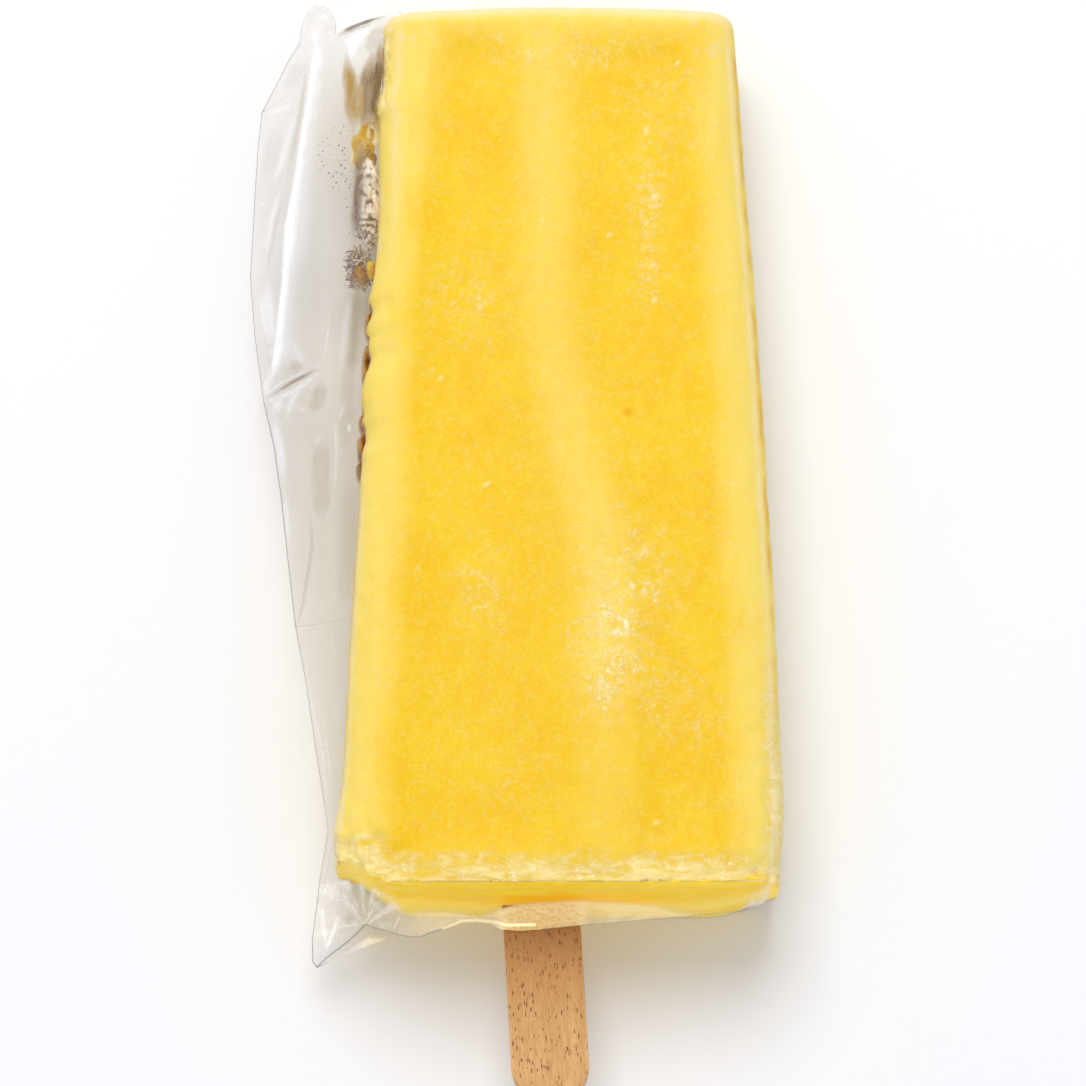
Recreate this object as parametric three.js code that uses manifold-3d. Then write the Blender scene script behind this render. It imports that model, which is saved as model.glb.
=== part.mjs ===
// An ice lolly: a moulded bar of mango ice on a flat beech stick, in a clear film sleeve that hangs
// slack on one side, with frost and a piece of fruit pulp caught in the slack.
// Millimetres. X runs across the bar, +Y to its tip, +Z up out of its front face. The origin is the
// middle of the flat rib on the bar's back, on the surface that the lolly lies on.
import * as THREE from "three";
import { mergeVertices } from "three/addons/utils/BufferGeometryUtils.js";
import Module from "manifold-3d";

// The moulded bar.
const BAR_LENGTH = 121;
const TIP_WIDTH = 46.9;
const BASE_WIDTH = 57.7;
const SIDE_BULGE = 0.6;
const BASE_TUCK = 0.7;
const TIP_THICKNESS = 21;
const BASE_THICKNESS = 25;
const SHOULDER_WIDTH = 6.5;
const SHOULDER_DEPTH = 5;
const TIP_EDGE = 3.2;
const BASE_EDGE = 1.1;
const TIP_CROWN = 1.3;
const BASE_CROWN = 1.1;
const BASE_SLANT = 2.4;
const FLUTE_DEPTH = 0.9;
const RIB_WIDTH = 7.5;
const RIB_SHIFT_TIP = -2;
const RIB_SHIFT_BASE = 5.8;
const WORN_CORNER_WIDTH = 10;
const WORN_CORNER_DEPTH = 2.6;
const RIM_RIPPLE = 0.25;
const SIDE_HOLLOW = 0.9;
const HOLLOW_FROM = 20;
const HOLLOW_TO = 60;

// The pockets melted under the left shoulder: where each is along the bar, and how long.
const MELT_POCKETS = [
  { y: 19.7, length: 3.6 },
  { y: 13.2, length: 5.4 },
  { y: 6.1, length: 2.6 },
  { y: 1.2, length: 4.6 },
];
const POCKET_REACH = 1.2;
const POCKET_HEIGHT = 4.5;

// The beech stick, which leans a little in the bar and follows its middle plane.
const STICK_LENGTH = 114;
const STICK_WIDTH = 10;
const STICK_THICKNESS = 2;
const STICK_BEVEL = 0.4;
const STICK_OUT = 26.2;
const STICK_SHIFT = -2.6;
const STICK_LEAN = THREE.MathUtils.degToRad(3.3);

// The slack side of the sleeve: a fold runs down it, from the sealed corner to the open mouth.
// Film is a thirtieth of a millimetre thick, and its wall here is a stand-in for that.
const FILM_WALL = 0.6;
const GAP = 0.3;
const FOLD = [
  [-32.2, -67.6, 7],
  [-31.8, -59.5, 8],
  [-30.9, -49.8, 9.5],
  [-35.1, -22.4, 9],
  [-39.6, 8.4, 7],
  [-41.6, 28, 6],
  [-40.5, 49, 7],
  [-35.4, 60.1, 9],
  [-32.6, 65.2, 9],
].map((p) => new THREE.Vector3(...p));
const MOUTH_Y = -64.2;
const SEAL_Y = 62.8;
const SEAL_HEIGHT = 10;
const SEAL_DROP = 2.6;
const EAR_NOTCH = 3.4;
const RIDGE_SHARE = 0.68;
const RIDGE_TENT = 1.6;

// What is caught between film and bar, from the tip down.
const PULP = { y: 46.4, radii: [1.7, 3.4, 4.6], height: 8.5, rough: 0.16, seed: 3 };
const FROST = { y: 36.6, radii: [1.5, 5.6, 5.4], height: 8.5, rough: 0.14, seed: 8 };
const CRYSTALS = { y: 27.4, radii: [2, 3.1, 4.4], height: 7, rough: 0.3, seed: 5 };

const wasm = await Module();
wasm.setup();

const { clamp, lerp, smoothstep } = THREE.MathUtils;

// Reads a piecewise-linear scale: the value at t, between rising stops.
function read(t, stops, values) {
  let i = 1;
  while (i < stops.length - 1 && t > stops[i]) i += 1;
  const share = (t - stops[i - 1]) / (stops[i] - stops[i - 1]);
  return lerp(values[i - 1], values[i], share);
}

// Keeps only a geometry's positions and joins the corners that coincide.
function joined(geometry) {
  geometry.deleteAttribute("normal");
  geometry.deleteAttribute("uv");
  return mergeVertices(geometry, 1e-4);
}

// A box with its faces divided, whose every vertex (u, v, w from -1 to 1) is put where place says.
function shapedBox(across, along, through, place) {
  const geometry = joined(new THREE.BoxGeometry(2, 2, 2, across, along, through));
  const position = geometry.attributes.position;
  const corner = new THREE.Vector3();
  for (let i = 0; i < position.count; i += 1) {
    corner.fromBufferAttribute(position, i);
    position.setXYZ(i, ...place(corner.x, corner.y, corner.z));
  }
  return geometry;
}

function toManifold(geometry) {
  return new wasm.Manifold(
    new wasm.Mesh({
      numProp: 3,
      vertProperties: new Float32Array(geometry.attributes.position.array),
      triVerts: new Uint32Array(geometry.index.array),
    }),
  );
}

function toGeometry(manifold) {
  const { vertProperties, triVerts } = manifold.getMesh();
  return new THREE.BufferGeometry()
    .setAttribute("position", new THREE.BufferAttribute(vertProperties, 3))
    .setIndex(new THREE.BufferAttribute(triVerts, 1));
}

function node(name, geometry, material) {
  const flat = geometry.toNonIndexed();
  flat.computeVertexNormals();
  const mesh = new THREE.Mesh(flat, new THREE.MeshStandardMaterial(material));
  mesh.name = name;
  return mesh;
}

// ---- the bar ----

function halfWidth(y) {
  const end = BAR_LENGTH / 2;
  const s = clamp(y / end, -1, 1);
  const tuck = BASE_TUCK * smoothstep(-y, end - 12, end);
  return lerp(BASE_WIDTH, TIP_WIDTH, (s + 1) / 2) / 2 + SIDE_BULGE * (1 - s * s) - tuck;
}

// The left side has melted back a little over the half towards the tip.
function hollow(y) {
  const fade = (HOLLOW_TO - HOLLOW_FROM) / 4;
  const rise = smoothstep(y, HOLLOW_FROM, HOLLOW_FROM + fade);
  return SIDE_HOLLOW * rise * (1 - smoothstep(y, HOLLOW_TO - fade, HOLLOW_TO));
}

function thickness(y) {
  return lerp(BASE_THICKNESS, TIP_THICKNESS, clamp(y / BAR_LENGTH + 0.5, 0, 1));
}

// The front rib wanders from left of the middle at the tip to right of it at the base.
function ribCentre(y) {
  return lerp(RIB_SHIFT_BASE, RIB_SHIFT_TIP, smoothstep(y, -28, 25));
}

// How deep a face lies below its rib and shoulders: two hollow flutes that run out at both ends.
function fluteDepth(x, y, centre) {
  const side = x < centre ? -1 : 1;
  const start = centre + (side * RIB_WIDTH) / 2;
  const end = side * (halfWidth(y) - SHOULDER_WIDTH);
  const share = clamp((x - start) / (end - start), 0, 1);
  const runOut =
    smoothstep(y, -BAR_LENGTH / 2, -BAR_LENGTH / 2 + 9) *
    (1 - smoothstep(y, BAR_LENGTH / 2 - 9, BAR_LENGTH / 2 - 2));
  return FLUTE_DEPTH * 4 * share * (1 - share) * runOut;
}

// How far a coordinate is into the rounding that ends at the face, from 0 to 1.
function into(value, half, radius) {
  return Math.max(0, (Math.abs(value) - (half - radius)) / radius);
}

// A point of the bar's skin. The grid's lines crowd together where the edges are rounded, and the
// stops of u, v and w that are read here fall where each rounding, rib or shoulder begins.
function barPoint(u, v, w) {
  const end = BAR_LENGTH / 2;
  const y = read(v, [-1, -0.87, 0.8, 1], [-end, -end + BASE_EDGE, end - TIP_EDGE, end]);
  const half = halfWidth(y);
  const middle = thickness(y) / 2;
  const centre = w > 0 ? ribCentre(y) : 0;
  const flat = half - SHOULDER_WIDTH;
  const rib = RIB_WIDTH / 2;
  const x = read(
    u,
    [-1, -2 / 3, -1 / 6, 1 / 6, 2 / 3, 1],
    [-half, -flat, centre - rib, centre + rib, flat, half],
  );
  const level = middle - SHOULDER_DEPTH;
  const z = read(w, [-1, -0.25, 0.25, 1], [-middle, -level, level, middle]);

  const edge = y > 0 ? TIP_EDGE : BASE_EDGE;
  const turn = [
    into(x, half, SHOULDER_WIDTH),
    into(y, end, edge),
    into(z, middle, SHOULDER_DEPTH),
  ];
  const reach = Math.max(1, Math.hypot(...turn));
  const rounded = (value, size, radius, share) =>
    share > 0 ? Math.sign(value) * (size - radius + (radius * share) / reach) : value;
  let px = rounded(x, half, SHOULDER_WIDTH, turn[0]);
  let py = rounded(y, end, edge, turn[1]);
  let pz = rounded(z, middle, SHOULDER_DEPTH, turn[2]) + middle;

  const isFace = Math.abs(w) > 0.999;
  if (isFace) pz -= Math.sign(w) * fluteDepth(px, py, centre);

  const bow = (1 - (px / half) ** 2) * (1 - (pz / middle - 1) ** 2 / 2);
  py += TIP_CROWN * bow * Math.max(0, v) ** 6;
  const baseEnd = Math.max(0, -v) ** 12;
  py -= BASE_CROWN * bow * (1 - Math.max(0, pz / middle - 1) ** 2) * baseEnd;
  py += BASE_SLANT * (1 - pz / (2 * middle)) * baseEnd;
  py += WORN_CORNER_DEPTH * smoothstep(-px, half - WORN_CORNER_WIDTH, half) * baseEnd;
  if (px < 0) px += hollow(y) * (px / half) ** 2;
  if (w > 0.999) pz += RIM_RIPPLE * baseEnd * Math.sin(px * 0.55) * Math.cos(px * 0.21 + 1);
  return [px, py, pz];
}

// ---- the stick ----

function stickSolid(grow) {
  const radius = STICK_WIDTH / 2 - STICK_BEVEL + grow;
  const straight = STICK_LENGTH / 2 - STICK_WIDTH / 2;
  const outline = new THREE.Shape();
  outline.absarc(0, straight, radius, 0, Math.PI);
  outline.absarc(0, -straight, radius, Math.PI, 2 * Math.PI);
  outline.closePath();
  const core = STICK_THICKNESS + 2 * grow - 2 * STICK_BEVEL;
  const geometry = new THREE.ExtrudeGeometry(outline, {
    depth: core,
    curveSegments: 14,
    bevelThickness: STICK_BEVEL,
    bevelSize: STICK_BEVEL,
    bevelSegments: 2,
  });
  geometry.translate(0, 0, -core / 2);
  return joined(geometry);
}

function placeStick(thing) {
  const outer = -BAR_LENGTH / 2 - STICK_OUT;
  const pitch = Math.atan((BASE_THICKNESS - TIP_THICKNESS) / 2 / BAR_LENGTH);
  const y = outer + (STICK_LENGTH / 2) * Math.cos(STICK_LEAN);
  const atBase = -BAR_LENGTH / 2;
  thing.rotation.set(-pitch, 0, STICK_LEAN);
  thing.position.set(
    STICK_SHIFT - (y - atBase) * Math.tan(STICK_LEAN),
    y,
    BASE_THICKNESS / 2 - (y - atBase) * Math.tan(pitch),
  );
}

function bar() {
  const body = toManifold(shapedBox(24, 30, 8, barPoint));
  const slot = new THREE.Object3D();
  placeStick(slot);
  slot.updateMatrix();
  let solid = body.subtract(toManifold(stickSolid(GAP).applyMatrix4(slot.matrix)));
  for (const { y, length } of MELT_POCKETS) {
    const pocket = joined(new THREE.SphereGeometry(1, 12, 8));
    pocket.scale(POCKET_REACH, length / 2, POCKET_HEIGHT);
    pocket.translate(-halfWidth(y) - 0.1, y, thickness(y) - SHOULDER_DEPTH - 1.5);
    solid = solid.subtract(toManifold(pocket));
  }
  return node("ice_block", toGeometry(solid), { color: "#fbd04a", roughness: 0.42 });
}

function stick() {
  const mesh = node("stick", stickSolid(0), { color: "#d9a56b", roughness: 0.7 });
  placeStick(mesh);
  return mesh;
}

// ---- the slack side of the sleeve ----

// Where a straight line from the fold touches a shoulder, as an angle round it from its crest.
function touch(across, down, radiusX, radiusZ) {
  const scaled = [across / radiusX, down / radiusZ];
  return Math.atan2(scaled[0], -scaled[1]) - Math.acos(1 / Math.hypot(...scaled));
}

// The fold's own line, from its tip at the mouth to the sealed corner.
function foldAt(share) {
  const y = lerp(FOLD[0].y, FOLD.at(-1).y, share);
  const stops = FOLD.map((p) => p.y);
  const across = FOLD.map((p) => p.x);
  const heights = FOLD.map((p) => p.z);
  return new THREE.Vector3(read(y, stops, across), y, read(y, stops, heights));
}

// The film's own middle surface. round runs from -1, where it leaves the bar's front shoulder, by
// 0 at the fold to 1, where it meets the back shoulder. share runs from the mouth to the seal.
function sheetPoint(round, share) {
  const fold = foldAt(share);
  const y = lerp(MOUTH_Y, SEAL_Y, share);
  const half = halfWidth(y);
  const level = thickness(y);
  const clear = GAP + FILM_WALL / 2;
  const radiusX = SHOULDER_WIDTH + clear;
  const radiusZ = SHOULDER_DEPTH + clear;
  const centreX = -(half - SHOULDER_WIDTH);
  const isFront = round < 0;
  const centreZ = isFront ? level - SHOULDER_DEPTH : SHOULDER_DEPTH;
  const down = isFront ? centreZ - fold.z : fold.z - centreZ;
  const touching = touch(centreX - fold.x, down, radiusX, radiusZ);
  const angle = isFront ? touching : Math.max(touching, Math.acos((centreZ - clear) / radiusZ));
  const rise = radiusZ * Math.cos(angle) * (isFront ? 1 : -1);
  const start = new THREE.Vector3(centreX - radiusX * Math.sin(angle), y, centreZ + rise);

  const seal = smoothstep(y, SEAL_Y - 2.4, SEAL_Y);
  start.z = lerp(start.z, SEAL_HEIGHT + (isFront ? SEAL_DROP : -SEAL_DROP), seal);
  const point = fold.clone().lerp(start, Math.abs(round));
  const tent = isFront ? RIDGE_TENT : RIDGE_TENT / 3;
  const ridge = read(Math.abs(round), [0, 1 - RIDGE_SHARE, 1], [0, 1, 0]);
  point.z += (isFront ? 1 : -1) * tent * ridge * (1 - seal) * smoothstep(share, 0, 0.3);
  const notch = read(Math.abs(round), [0, 0.12, 0.3, 1], [0, 0, 1, 0]);
  point.y -= EAR_NOTCH * notch * smoothstep(share, 0.92, 1);
  return point;
}

function filmPoint(u, v, w) {
  const round = -u;
  const share = (v + 1) / 2;
  const step = 0.01;
  const here = sheetPoint(round, share);
  const alongSheet = sheetPoint(round, Math.min(1, share + step));
  alongSheet.sub(sheetPoint(round, Math.max(0, share - step)));
  const roundSheet = sheetPoint(Math.min(1, round + step), share);
  roundSheet.sub(sheetPoint(Math.max(-1, round - step), share));
  const outward = alongSheet.cross(roundSheet).normalize();
  return here.addScaledVector(outward, (w * FILM_WALL) / 2).toArray();
}

function film() {
  const geometry = shapedBox(18, 32, 1, filmPoint);
  return node("film_sleeve", geometry, {
    color: "#e8e9ea",
    roughness: 0.15,
    transparent: true,
    opacity: 0.35,
  });
}

// ---- frost and pulp caught in the slack ----

function lump(name, { y, radii, height, rough, seed }, material) {
  const geometry = joined(new THREE.IcosahedronGeometry(1, 4));
  const position = geometry.attributes.position;
  const point = new THREE.Vector3();
  for (let i = 0; i < position.count; i += 1) {
    point.fromBufferAttribute(position, i);
    const swell =
      Math.sin(5.1 * point.x + seed) * Math.sin(6.3 * point.y + 2 * seed) +
      0.6 * Math.sin(9.7 * point.z + seed) * Math.sin(8.9 * point.y - seed);
    point.multiplyScalar(1 - rough * 0.8 + rough * 0.5 * swell);
    position.setXYZ(i, ...point);
  }
  geometry.scale(...radii);
  geometry.translate(hollow(y) - halfWidth(y) - radii[0] - GAP, y, height);
  return node(name, geometry, material);
}

const lolly = new THREE.Group();
lolly.add(
  bar(),
  stick(),
  film(),
  lump("pulp_chunk", PULP, { color: "#e7b73c", roughness: 0.5 }),
  lump("frost_lump", FROST, { color: "#e9dccb", roughness: 0.7 }),
  lump("frost_crystals", CRYSTALS, { color: "#e2d3c4", roughness: 0.6 }),
);

export default lolly;
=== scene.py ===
import math
import random

import bmesh
import bpy
from mathutils import Euler, Matrix, Vector, noise
from mathutils.geometry import delaunay_2d_cdt


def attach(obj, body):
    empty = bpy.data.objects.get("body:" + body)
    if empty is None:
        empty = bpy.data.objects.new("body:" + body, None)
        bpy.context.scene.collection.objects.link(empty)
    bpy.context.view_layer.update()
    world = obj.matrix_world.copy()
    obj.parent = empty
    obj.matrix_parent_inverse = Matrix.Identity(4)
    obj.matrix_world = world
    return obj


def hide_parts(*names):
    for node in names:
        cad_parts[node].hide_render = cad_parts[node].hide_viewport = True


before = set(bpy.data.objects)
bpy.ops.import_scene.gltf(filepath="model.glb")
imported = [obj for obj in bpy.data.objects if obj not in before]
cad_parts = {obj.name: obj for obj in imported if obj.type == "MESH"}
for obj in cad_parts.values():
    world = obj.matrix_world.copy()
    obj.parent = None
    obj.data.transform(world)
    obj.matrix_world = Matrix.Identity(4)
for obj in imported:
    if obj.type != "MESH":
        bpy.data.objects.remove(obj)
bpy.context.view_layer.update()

# An ice lolly on its back: a moulded bar of mango ice on a beech stick, in a clear film sleeve.
# X runs across the bar, +Y to its tip and +Z out of its front face. Sizes here are millimetres,
# and every mesh is scaled to metres when its shape is done.


# ---- The bar ----
# Mango ice from a tapering mould, with broad shoulders, a raised rib that wanders down each face and
# a shallow flute on each side of it. Frost has crackled the flutes, the base rim has crumbled, and
# the left side has melted back under its shoulder.

BAR_CUTS = (112, 232, 48)
BAR_LENGTH = 121
TIP_WIDTH = 46.9
BASE_WIDTH = 57.7
SIDE_BULGE = 0.6
BASE_TUCK = 0.7
TIP_THICKNESS = 21
BASE_THICKNESS = 25
SHOULDER_WIDTH = 6.5
SHOULDER_DEPTH = 5
TIP_EDGE = 3.2
BASE_EDGE = 0.6
TIP_CROWN = 1.3
BASE_CROWN = 1.1
BASE_SLANT = 1.4
FLUTE_DEPTH = 0.9
RIB_WIDTH = 7.5
RIB_SHIFT_TIP = -2
RIB_SHIFT_BASE = 5.8
# The worn corner's width and depth at the bar's back and at its front.
WORN_WIDTH = (9.5, 7.5)
WORN_DEPTH = (4.9, 3.3)
END = BAR_LENGTH / 2
ICE_INSET = 0.14
# How far inside the mould's line each side lies, by place along the bar.
LEFT_MELT = [
    (-60.5, -1.1), (-54.7, -1.1), (-50.7, -0.4), (-46.7, 0), (-41.4, 0.14), (-33.4, 0.18), (-21, 0.35),
    (-11.7, 0.46), (-6.3, 0.42), (-3.5, 0.5), (1, 0.3), (7.5, 0), (10, 0.1), (15.5, 0.15), (20, 0.13),
    (22.8, 0.64), (25.6, 0.87), (29.8, 0.98), (35.5, 0.65), (40.4, 0.3), (44.8, 0.1), (45.9, -0.5),
    (47, -0.68), (48.2, -0.5), (49.9, 0), (51.1, -0.02), (55.4, -0.34), (60.5, -0.42),
]
RIGHT_MELT = [
    (-60.5, -0.2), (-50.9, -0.34), (-41.4, -0.25), (-20, -0.35), (0.6, -0.3), (14.5, -0.3), (28.4, -0.12),
    (42.6, 0), (60.5, 0.1),
]
# How deep the melt pockets of the left side are, and how far each dark drop, painted shade, reaches along
# it.
POCKET_DEPTH = [
    (-6.3, 0), (-3.5, 0.13), (-2.1, 0.1), (-1.2, 0.25), (-0.1, 0.55), (1.7, 0.52), (3, 0.1), (3.6, 0.27),
    (4.8, 0.18), (5.6, 0), (8, 0.1), (9.3, 0.28), (10.3, 0.6), (11.4, 0.8), (12.5, 0.5), (13.5, 0.37),
    (14.5, 0.47), (15.2, 0.03), (16.1, 0.03), (17.2, 0.45), (18.2, 0.58), (19.2, 0.27), (20, 0),
]
POCKET_SHADE_DROPS = [(17.6, 1.55), (11.4, 3.2), (4.1, 0.9), (0.6, 1.8), (-2.4, 0.9)]


def clamp(value):
    return min(1, max(0, value))


def lerp(low, high, share):
    return low + (high - low) * share


def ease(value, start, end):
    share = clamp((value - start) / (end - start))
    return share * share * (3 - 2 * share)


def read(value, stops, results):
    """The result at a value, on straight lines between rising stops."""
    i = 1
    while i < len(stops) - 1 and value > stops[i]:
        i += 1
    share = (value - stops[i - 1]) / (stops[i] - stops[i - 1])
    return lerp(results[i - 1], results[i], share)


def half_width(y):
    s = max(-1, min(1, y / END))
    tuck = BASE_TUCK * ease(-y, END - 12, END)
    return lerp(BASE_WIDTH, TIP_WIDTH, (s + 1) / 2) / 2 + SIDE_BULGE * (1 - s * s) - tuck


def melted(y, table):
    return read(y, [stop for stop, _ in table], [inset for _, inset in table])


def thickness(y):
    return lerp(BASE_THICKNESS, TIP_THICKNESS, clamp(y / BAR_LENGTH + 0.5))


def rib_centre(y):
    return lerp(RIB_SHIFT_BASE, RIB_SHIFT_TIP, ease(y, -28, 25))


def flute_depth(x, y, centre):
    side = -1 if x < centre else 1
    start = centre + side * RIB_WIDTH / 2
    end = side * (half_width(y) - SHOULDER_WIDTH)
    share = clamp((x - start) / (end - start))
    run_out = ease(y, -END, -END + 9) * (1 - ease(y, END - 9, END - 2))
    return FLUTE_DEPTH * 4 * share * (1 - share) * run_out


def into(value, half, radius):
    return max(0, (abs(value) - (half - radius)) / radius)


def bar_point(u, v, w):
    """A point of the moulded form, for u, v and w from -1 to 1."""
    y = read(v, [-1, -0.87, 0.8, 1], [-END, -END + BASE_EDGE, END - TIP_EDGE, END])
    half = half_width(y)
    middle = thickness(y) / 2
    centre = rib_centre(y) if w > 0 else 0
    flat = half - SHOULDER_WIDTH
    rib = RIB_WIDTH / 2
    lanes = [-half, -flat, centre - rib, centre + rib, flat, half]
    x = read(u, [-1, -2 / 3, -1 / 6, 1 / 6, 2 / 3, 1], lanes)
    level = middle - SHOULDER_DEPTH
    z = read(w, [-1, -0.25, 0.25, 1], [-middle, -level, level, middle])
    edge = TIP_EDGE if y > 0 else BASE_EDGE
    sizes = ((x, half, SHOULDER_WIDTH), (y, END, edge), (z, middle, SHOULDER_DEPTH))
    shares = [into(*size) for size in sizes]
    plan = (shares[0] ** 4 + shares[1] ** 4) ** 0.25
    reach = max(1, math.hypot(plan, shares[2]))
    rounded = []
    for value, size, radius in sizes:
        share = into(value, size, radius)
        corner = math.copysign(size - radius + radius * share / reach, value)
        rounded.append(corner if share > 0 else value)
    px, py, pz = rounded
    pz += middle
    if abs(w) > 0.999:
        pz -= math.copysign(flute_depth(px, py, centre), w)
    bow = (1 - (px / half) ** 2) * (1 - (pz / middle - 1) ** 2 / 2)
    py += TIP_CROWN * bow * max(0, v) ** 6
    base_end = max(0, -v) ** 12
    py -= BASE_CROWN * bow * (1 - max(0, pz / middle - 1) ** 2) * base_end
    py += BASE_SLANT * (1 - pz / (2 * middle)) * base_end
    high = clamp(pz / (2 * middle))
    worn = lerp(*WORN_DEPTH, high) * ease(-px, half - lerp(*WORN_WIDTH, high), half - 0.5)
    worn += 2 * (1 - 0.8 * high) * ease(px, half - 9, half + 0.5)
    py += worn * clamp((-py - 43) / (END - 43)) ** 1.5
    inset = melted(y, LEFT_MELT) if px < 0 else -melted(y, RIGHT_MELT)
    px += inset * (px / half) ** 2
    return Vector((px, py, pz))


def divided_box(across, along, through):
    """A box from -1 to 1 whose edges along X, Y and Z are cut into that many parts."""
    box = bmesh.new()
    bmesh.ops.create_cube(box, size=2)
    for axis, parts in enumerate((across, along, through)):
        edges = [e for e in box.edges if abs(e.verts[0].co[axis] - e.verts[1].co[axis]) > 1]
        bmesh.ops.subdivide_edges(box, edges=edges, cuts=parts - 1, use_grid_fill=True)
    return box


def finish(name, shape, material, masks=None, smooth=True):
    """Turns a shape in millimetres into an object, with a float attribute for each mask."""
    bmesh.ops.scale(shape, vec=(0.001, 0.001, 0.001), verts=shape.verts)
    for face in shape.faces:
        face.smooth = smooth
    mesh = bpy.data.meshes.new(name)
    shape.to_mesh(mesh)
    shape.free()
    for mask, values in (masks or {}).items():
        attribute = mesh.attributes.new(mask, "FLOAT", "POINT")
        attribute.data.foreach_set("value", values)
    mesh.materials.append(material)
    piece = bpy.data.objects.new(name, mesh)
    bpy.context.scene.collection.objects.link(piece)
    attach(piece, "root")
    return piece


# Where frost has crackled the front: the middle, the reach across and along, and how strongly.
FROST_PATCHES = [
    (6.6, -29.5, 4.6, 7.5, 0.85),
    (9, -19, 6.5, 8, 0.45),
    (15.5, -37, 7, 7, 0.26),
    (-12, 18, 7, 8, 0.25),
    (-10, -21, 4, 9, 0.3),
    (11.6, 30, 2.2, 14, 0.42),
    (14, 46, 7, 9, 0.22),
    (1, 54, 12, 3.5, 0.3),
    (-6, -46, 9, 6, 0.15),
]
# Single crumbs of frost: the place and the size.
FROST_BITS = [
    (10.4, 49.3, 0.5), (11.5, 42.6, 0.6), (15.5, 51.9, 0.45), (12.2, 23.4, 0.4), (9.2, 31, 0.35),
    (12.4, 18.5, 0.45), (6.6, 27.7, 0.3), (17.6, 40, 0.3), (-15.8, 7.7, 0.3), (-16.9, 9.2, 0.3),
    (3.2, -44.4, 0.35), (-9.5, -6.7, 0.3), (12.3, -52.3, 0.5), (-2.5, 29.5, 0.25),
]


def frost_at(x, y):
    strongest = 0
    for middle_x, middle_y, reach_x, reach_y, strength in FROST_PATCHES:
        away = ((x - middle_x) / reach_x) ** 2 + ((y - middle_y) / reach_y) ** 2
        strongest = max(strongest, strength * math.exp(-away))
    return strongest


def melt_at(point):
    """How deep a melt pocket is at a point of the left side."""
    if point.x > 0 or not POCKET_DEPTH[0][0] < point.y < POCKET_DEPTH[-1][0]:
        return 0
    return melted(point.y, POCKET_DEPTH) * ease(-point.x, 20, 23) * ease(point.z, 4, 9)


def rime_at(point, normal):
    """Where crumbled ice and thick frost lie on the rim, the base corners and parts of both long edges."""
    half = half_width(point.y)
    high = ease(point.z / thickness(point.y), 0.55, 0.85)
    rim = ease(-point.y, END - 6, END - 1.5) * ease(normal.z, 0.3, 0.75)
    corner = ease(-point.x, half - 9, half - 3) * ease(-point.y, 52, 56)
    right = ease(point.x, half - 3.4, half - 1) * ease(-point.y, 24, 50)
    left = ease(-point.x, half - 1.3, half - 0.4) * ease(point.y, 44, 47) * (1 - ease(point.y, 56, 58))
    return max(rim, corner * high, right * high, left * high)


def side_marks(point):
    """A painted highlight, a pale gleam inside each long edge and round the tip, and a painted shade, an
    amber line outside it on the right.
    """
    half = half_width(point.y)
    if point.z < thickness(point.y) / 2:
        return 0, 0
    wave = noise.noise(Vector((0, point.y / 6, 3)))
    tip = ease(point.y - TIP_CROWN * (1 - (point.x / half) ** 2), END - 3.4, END - 1.4)
    tip *= ease(point.z / thickness(point.y), 0.5, 0.9)
    if point.x > 0:
        inside = half - melted(point.y, RIGHT_MELT) - point.x
        gleam = math.exp(-(((inside - 1.25) / 0.42) ** 2)) * (0.8 + 0.5 * wave)
        edge_shade = math.exp(-(((inside - 0.4) / 0.3) ** 2)) * ease(wave, -0.25, 0.2)
        return clamp(max(gleam, tip)), clamp(edge_shade) * (1 - ease(-point.y, 15, 40))
    inside = half - melted(point.y, LEFT_MELT) + point.x
    low = math.exp(-(((inside - 0.45) / 0.45) ** 2)) * ease(-point.y, -4, 12)
    high = math.exp(-(((inside - 2.4) / 0.7) ** 2)) * 0.8 * ease(point.y, 20, 40)
    return clamp(max((low + high) * (0.7 + 0.6 * wave), tip)), 0


def paleness_and_sheen(point, centre):
    """How much paler than the flutes the ice is: most on the shoulders, the rib, the tip and the rim.
    This is partly the ice's own paler tone and partly a painted sheen on the raised shoulders and rib.
    """
    half = half_width(point.y)
    drift = 1.2 * noise.noise(Vector((point.x / 40, point.y / 9, 6)))
    reach = 8.5 + 2.5 * ease(point.y, 30, 50) * ease(-point.x, 0, 5)
    side = 0.97 * ease(abs(point.x) + drift, half - reach, half - 2.5)
    rib = math.exp(-(((point.x - centre + drift * 0.4) / 3.9) ** 2)) * (0.8 + 0.3 * noise.noise(point / 17))
    rib *= 1 - 0.6 * ease(-point.y, 24, 44)
    tip = ease(point.y, END - 7, END) * 0.9
    rim = ease(-point.y, END - 6, END - 1.5) * 0.5
    if point.y < 2 - END:
        deep = math.exp(-(((point.z - 17.5) / 3.6) ** 2))
        rim = (0.3 if point.z > 17.5 else 0.85) * (1 - deep)
        side = 0
    return clamp(max(side, 0.75 * rib, tip, rim))


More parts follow.
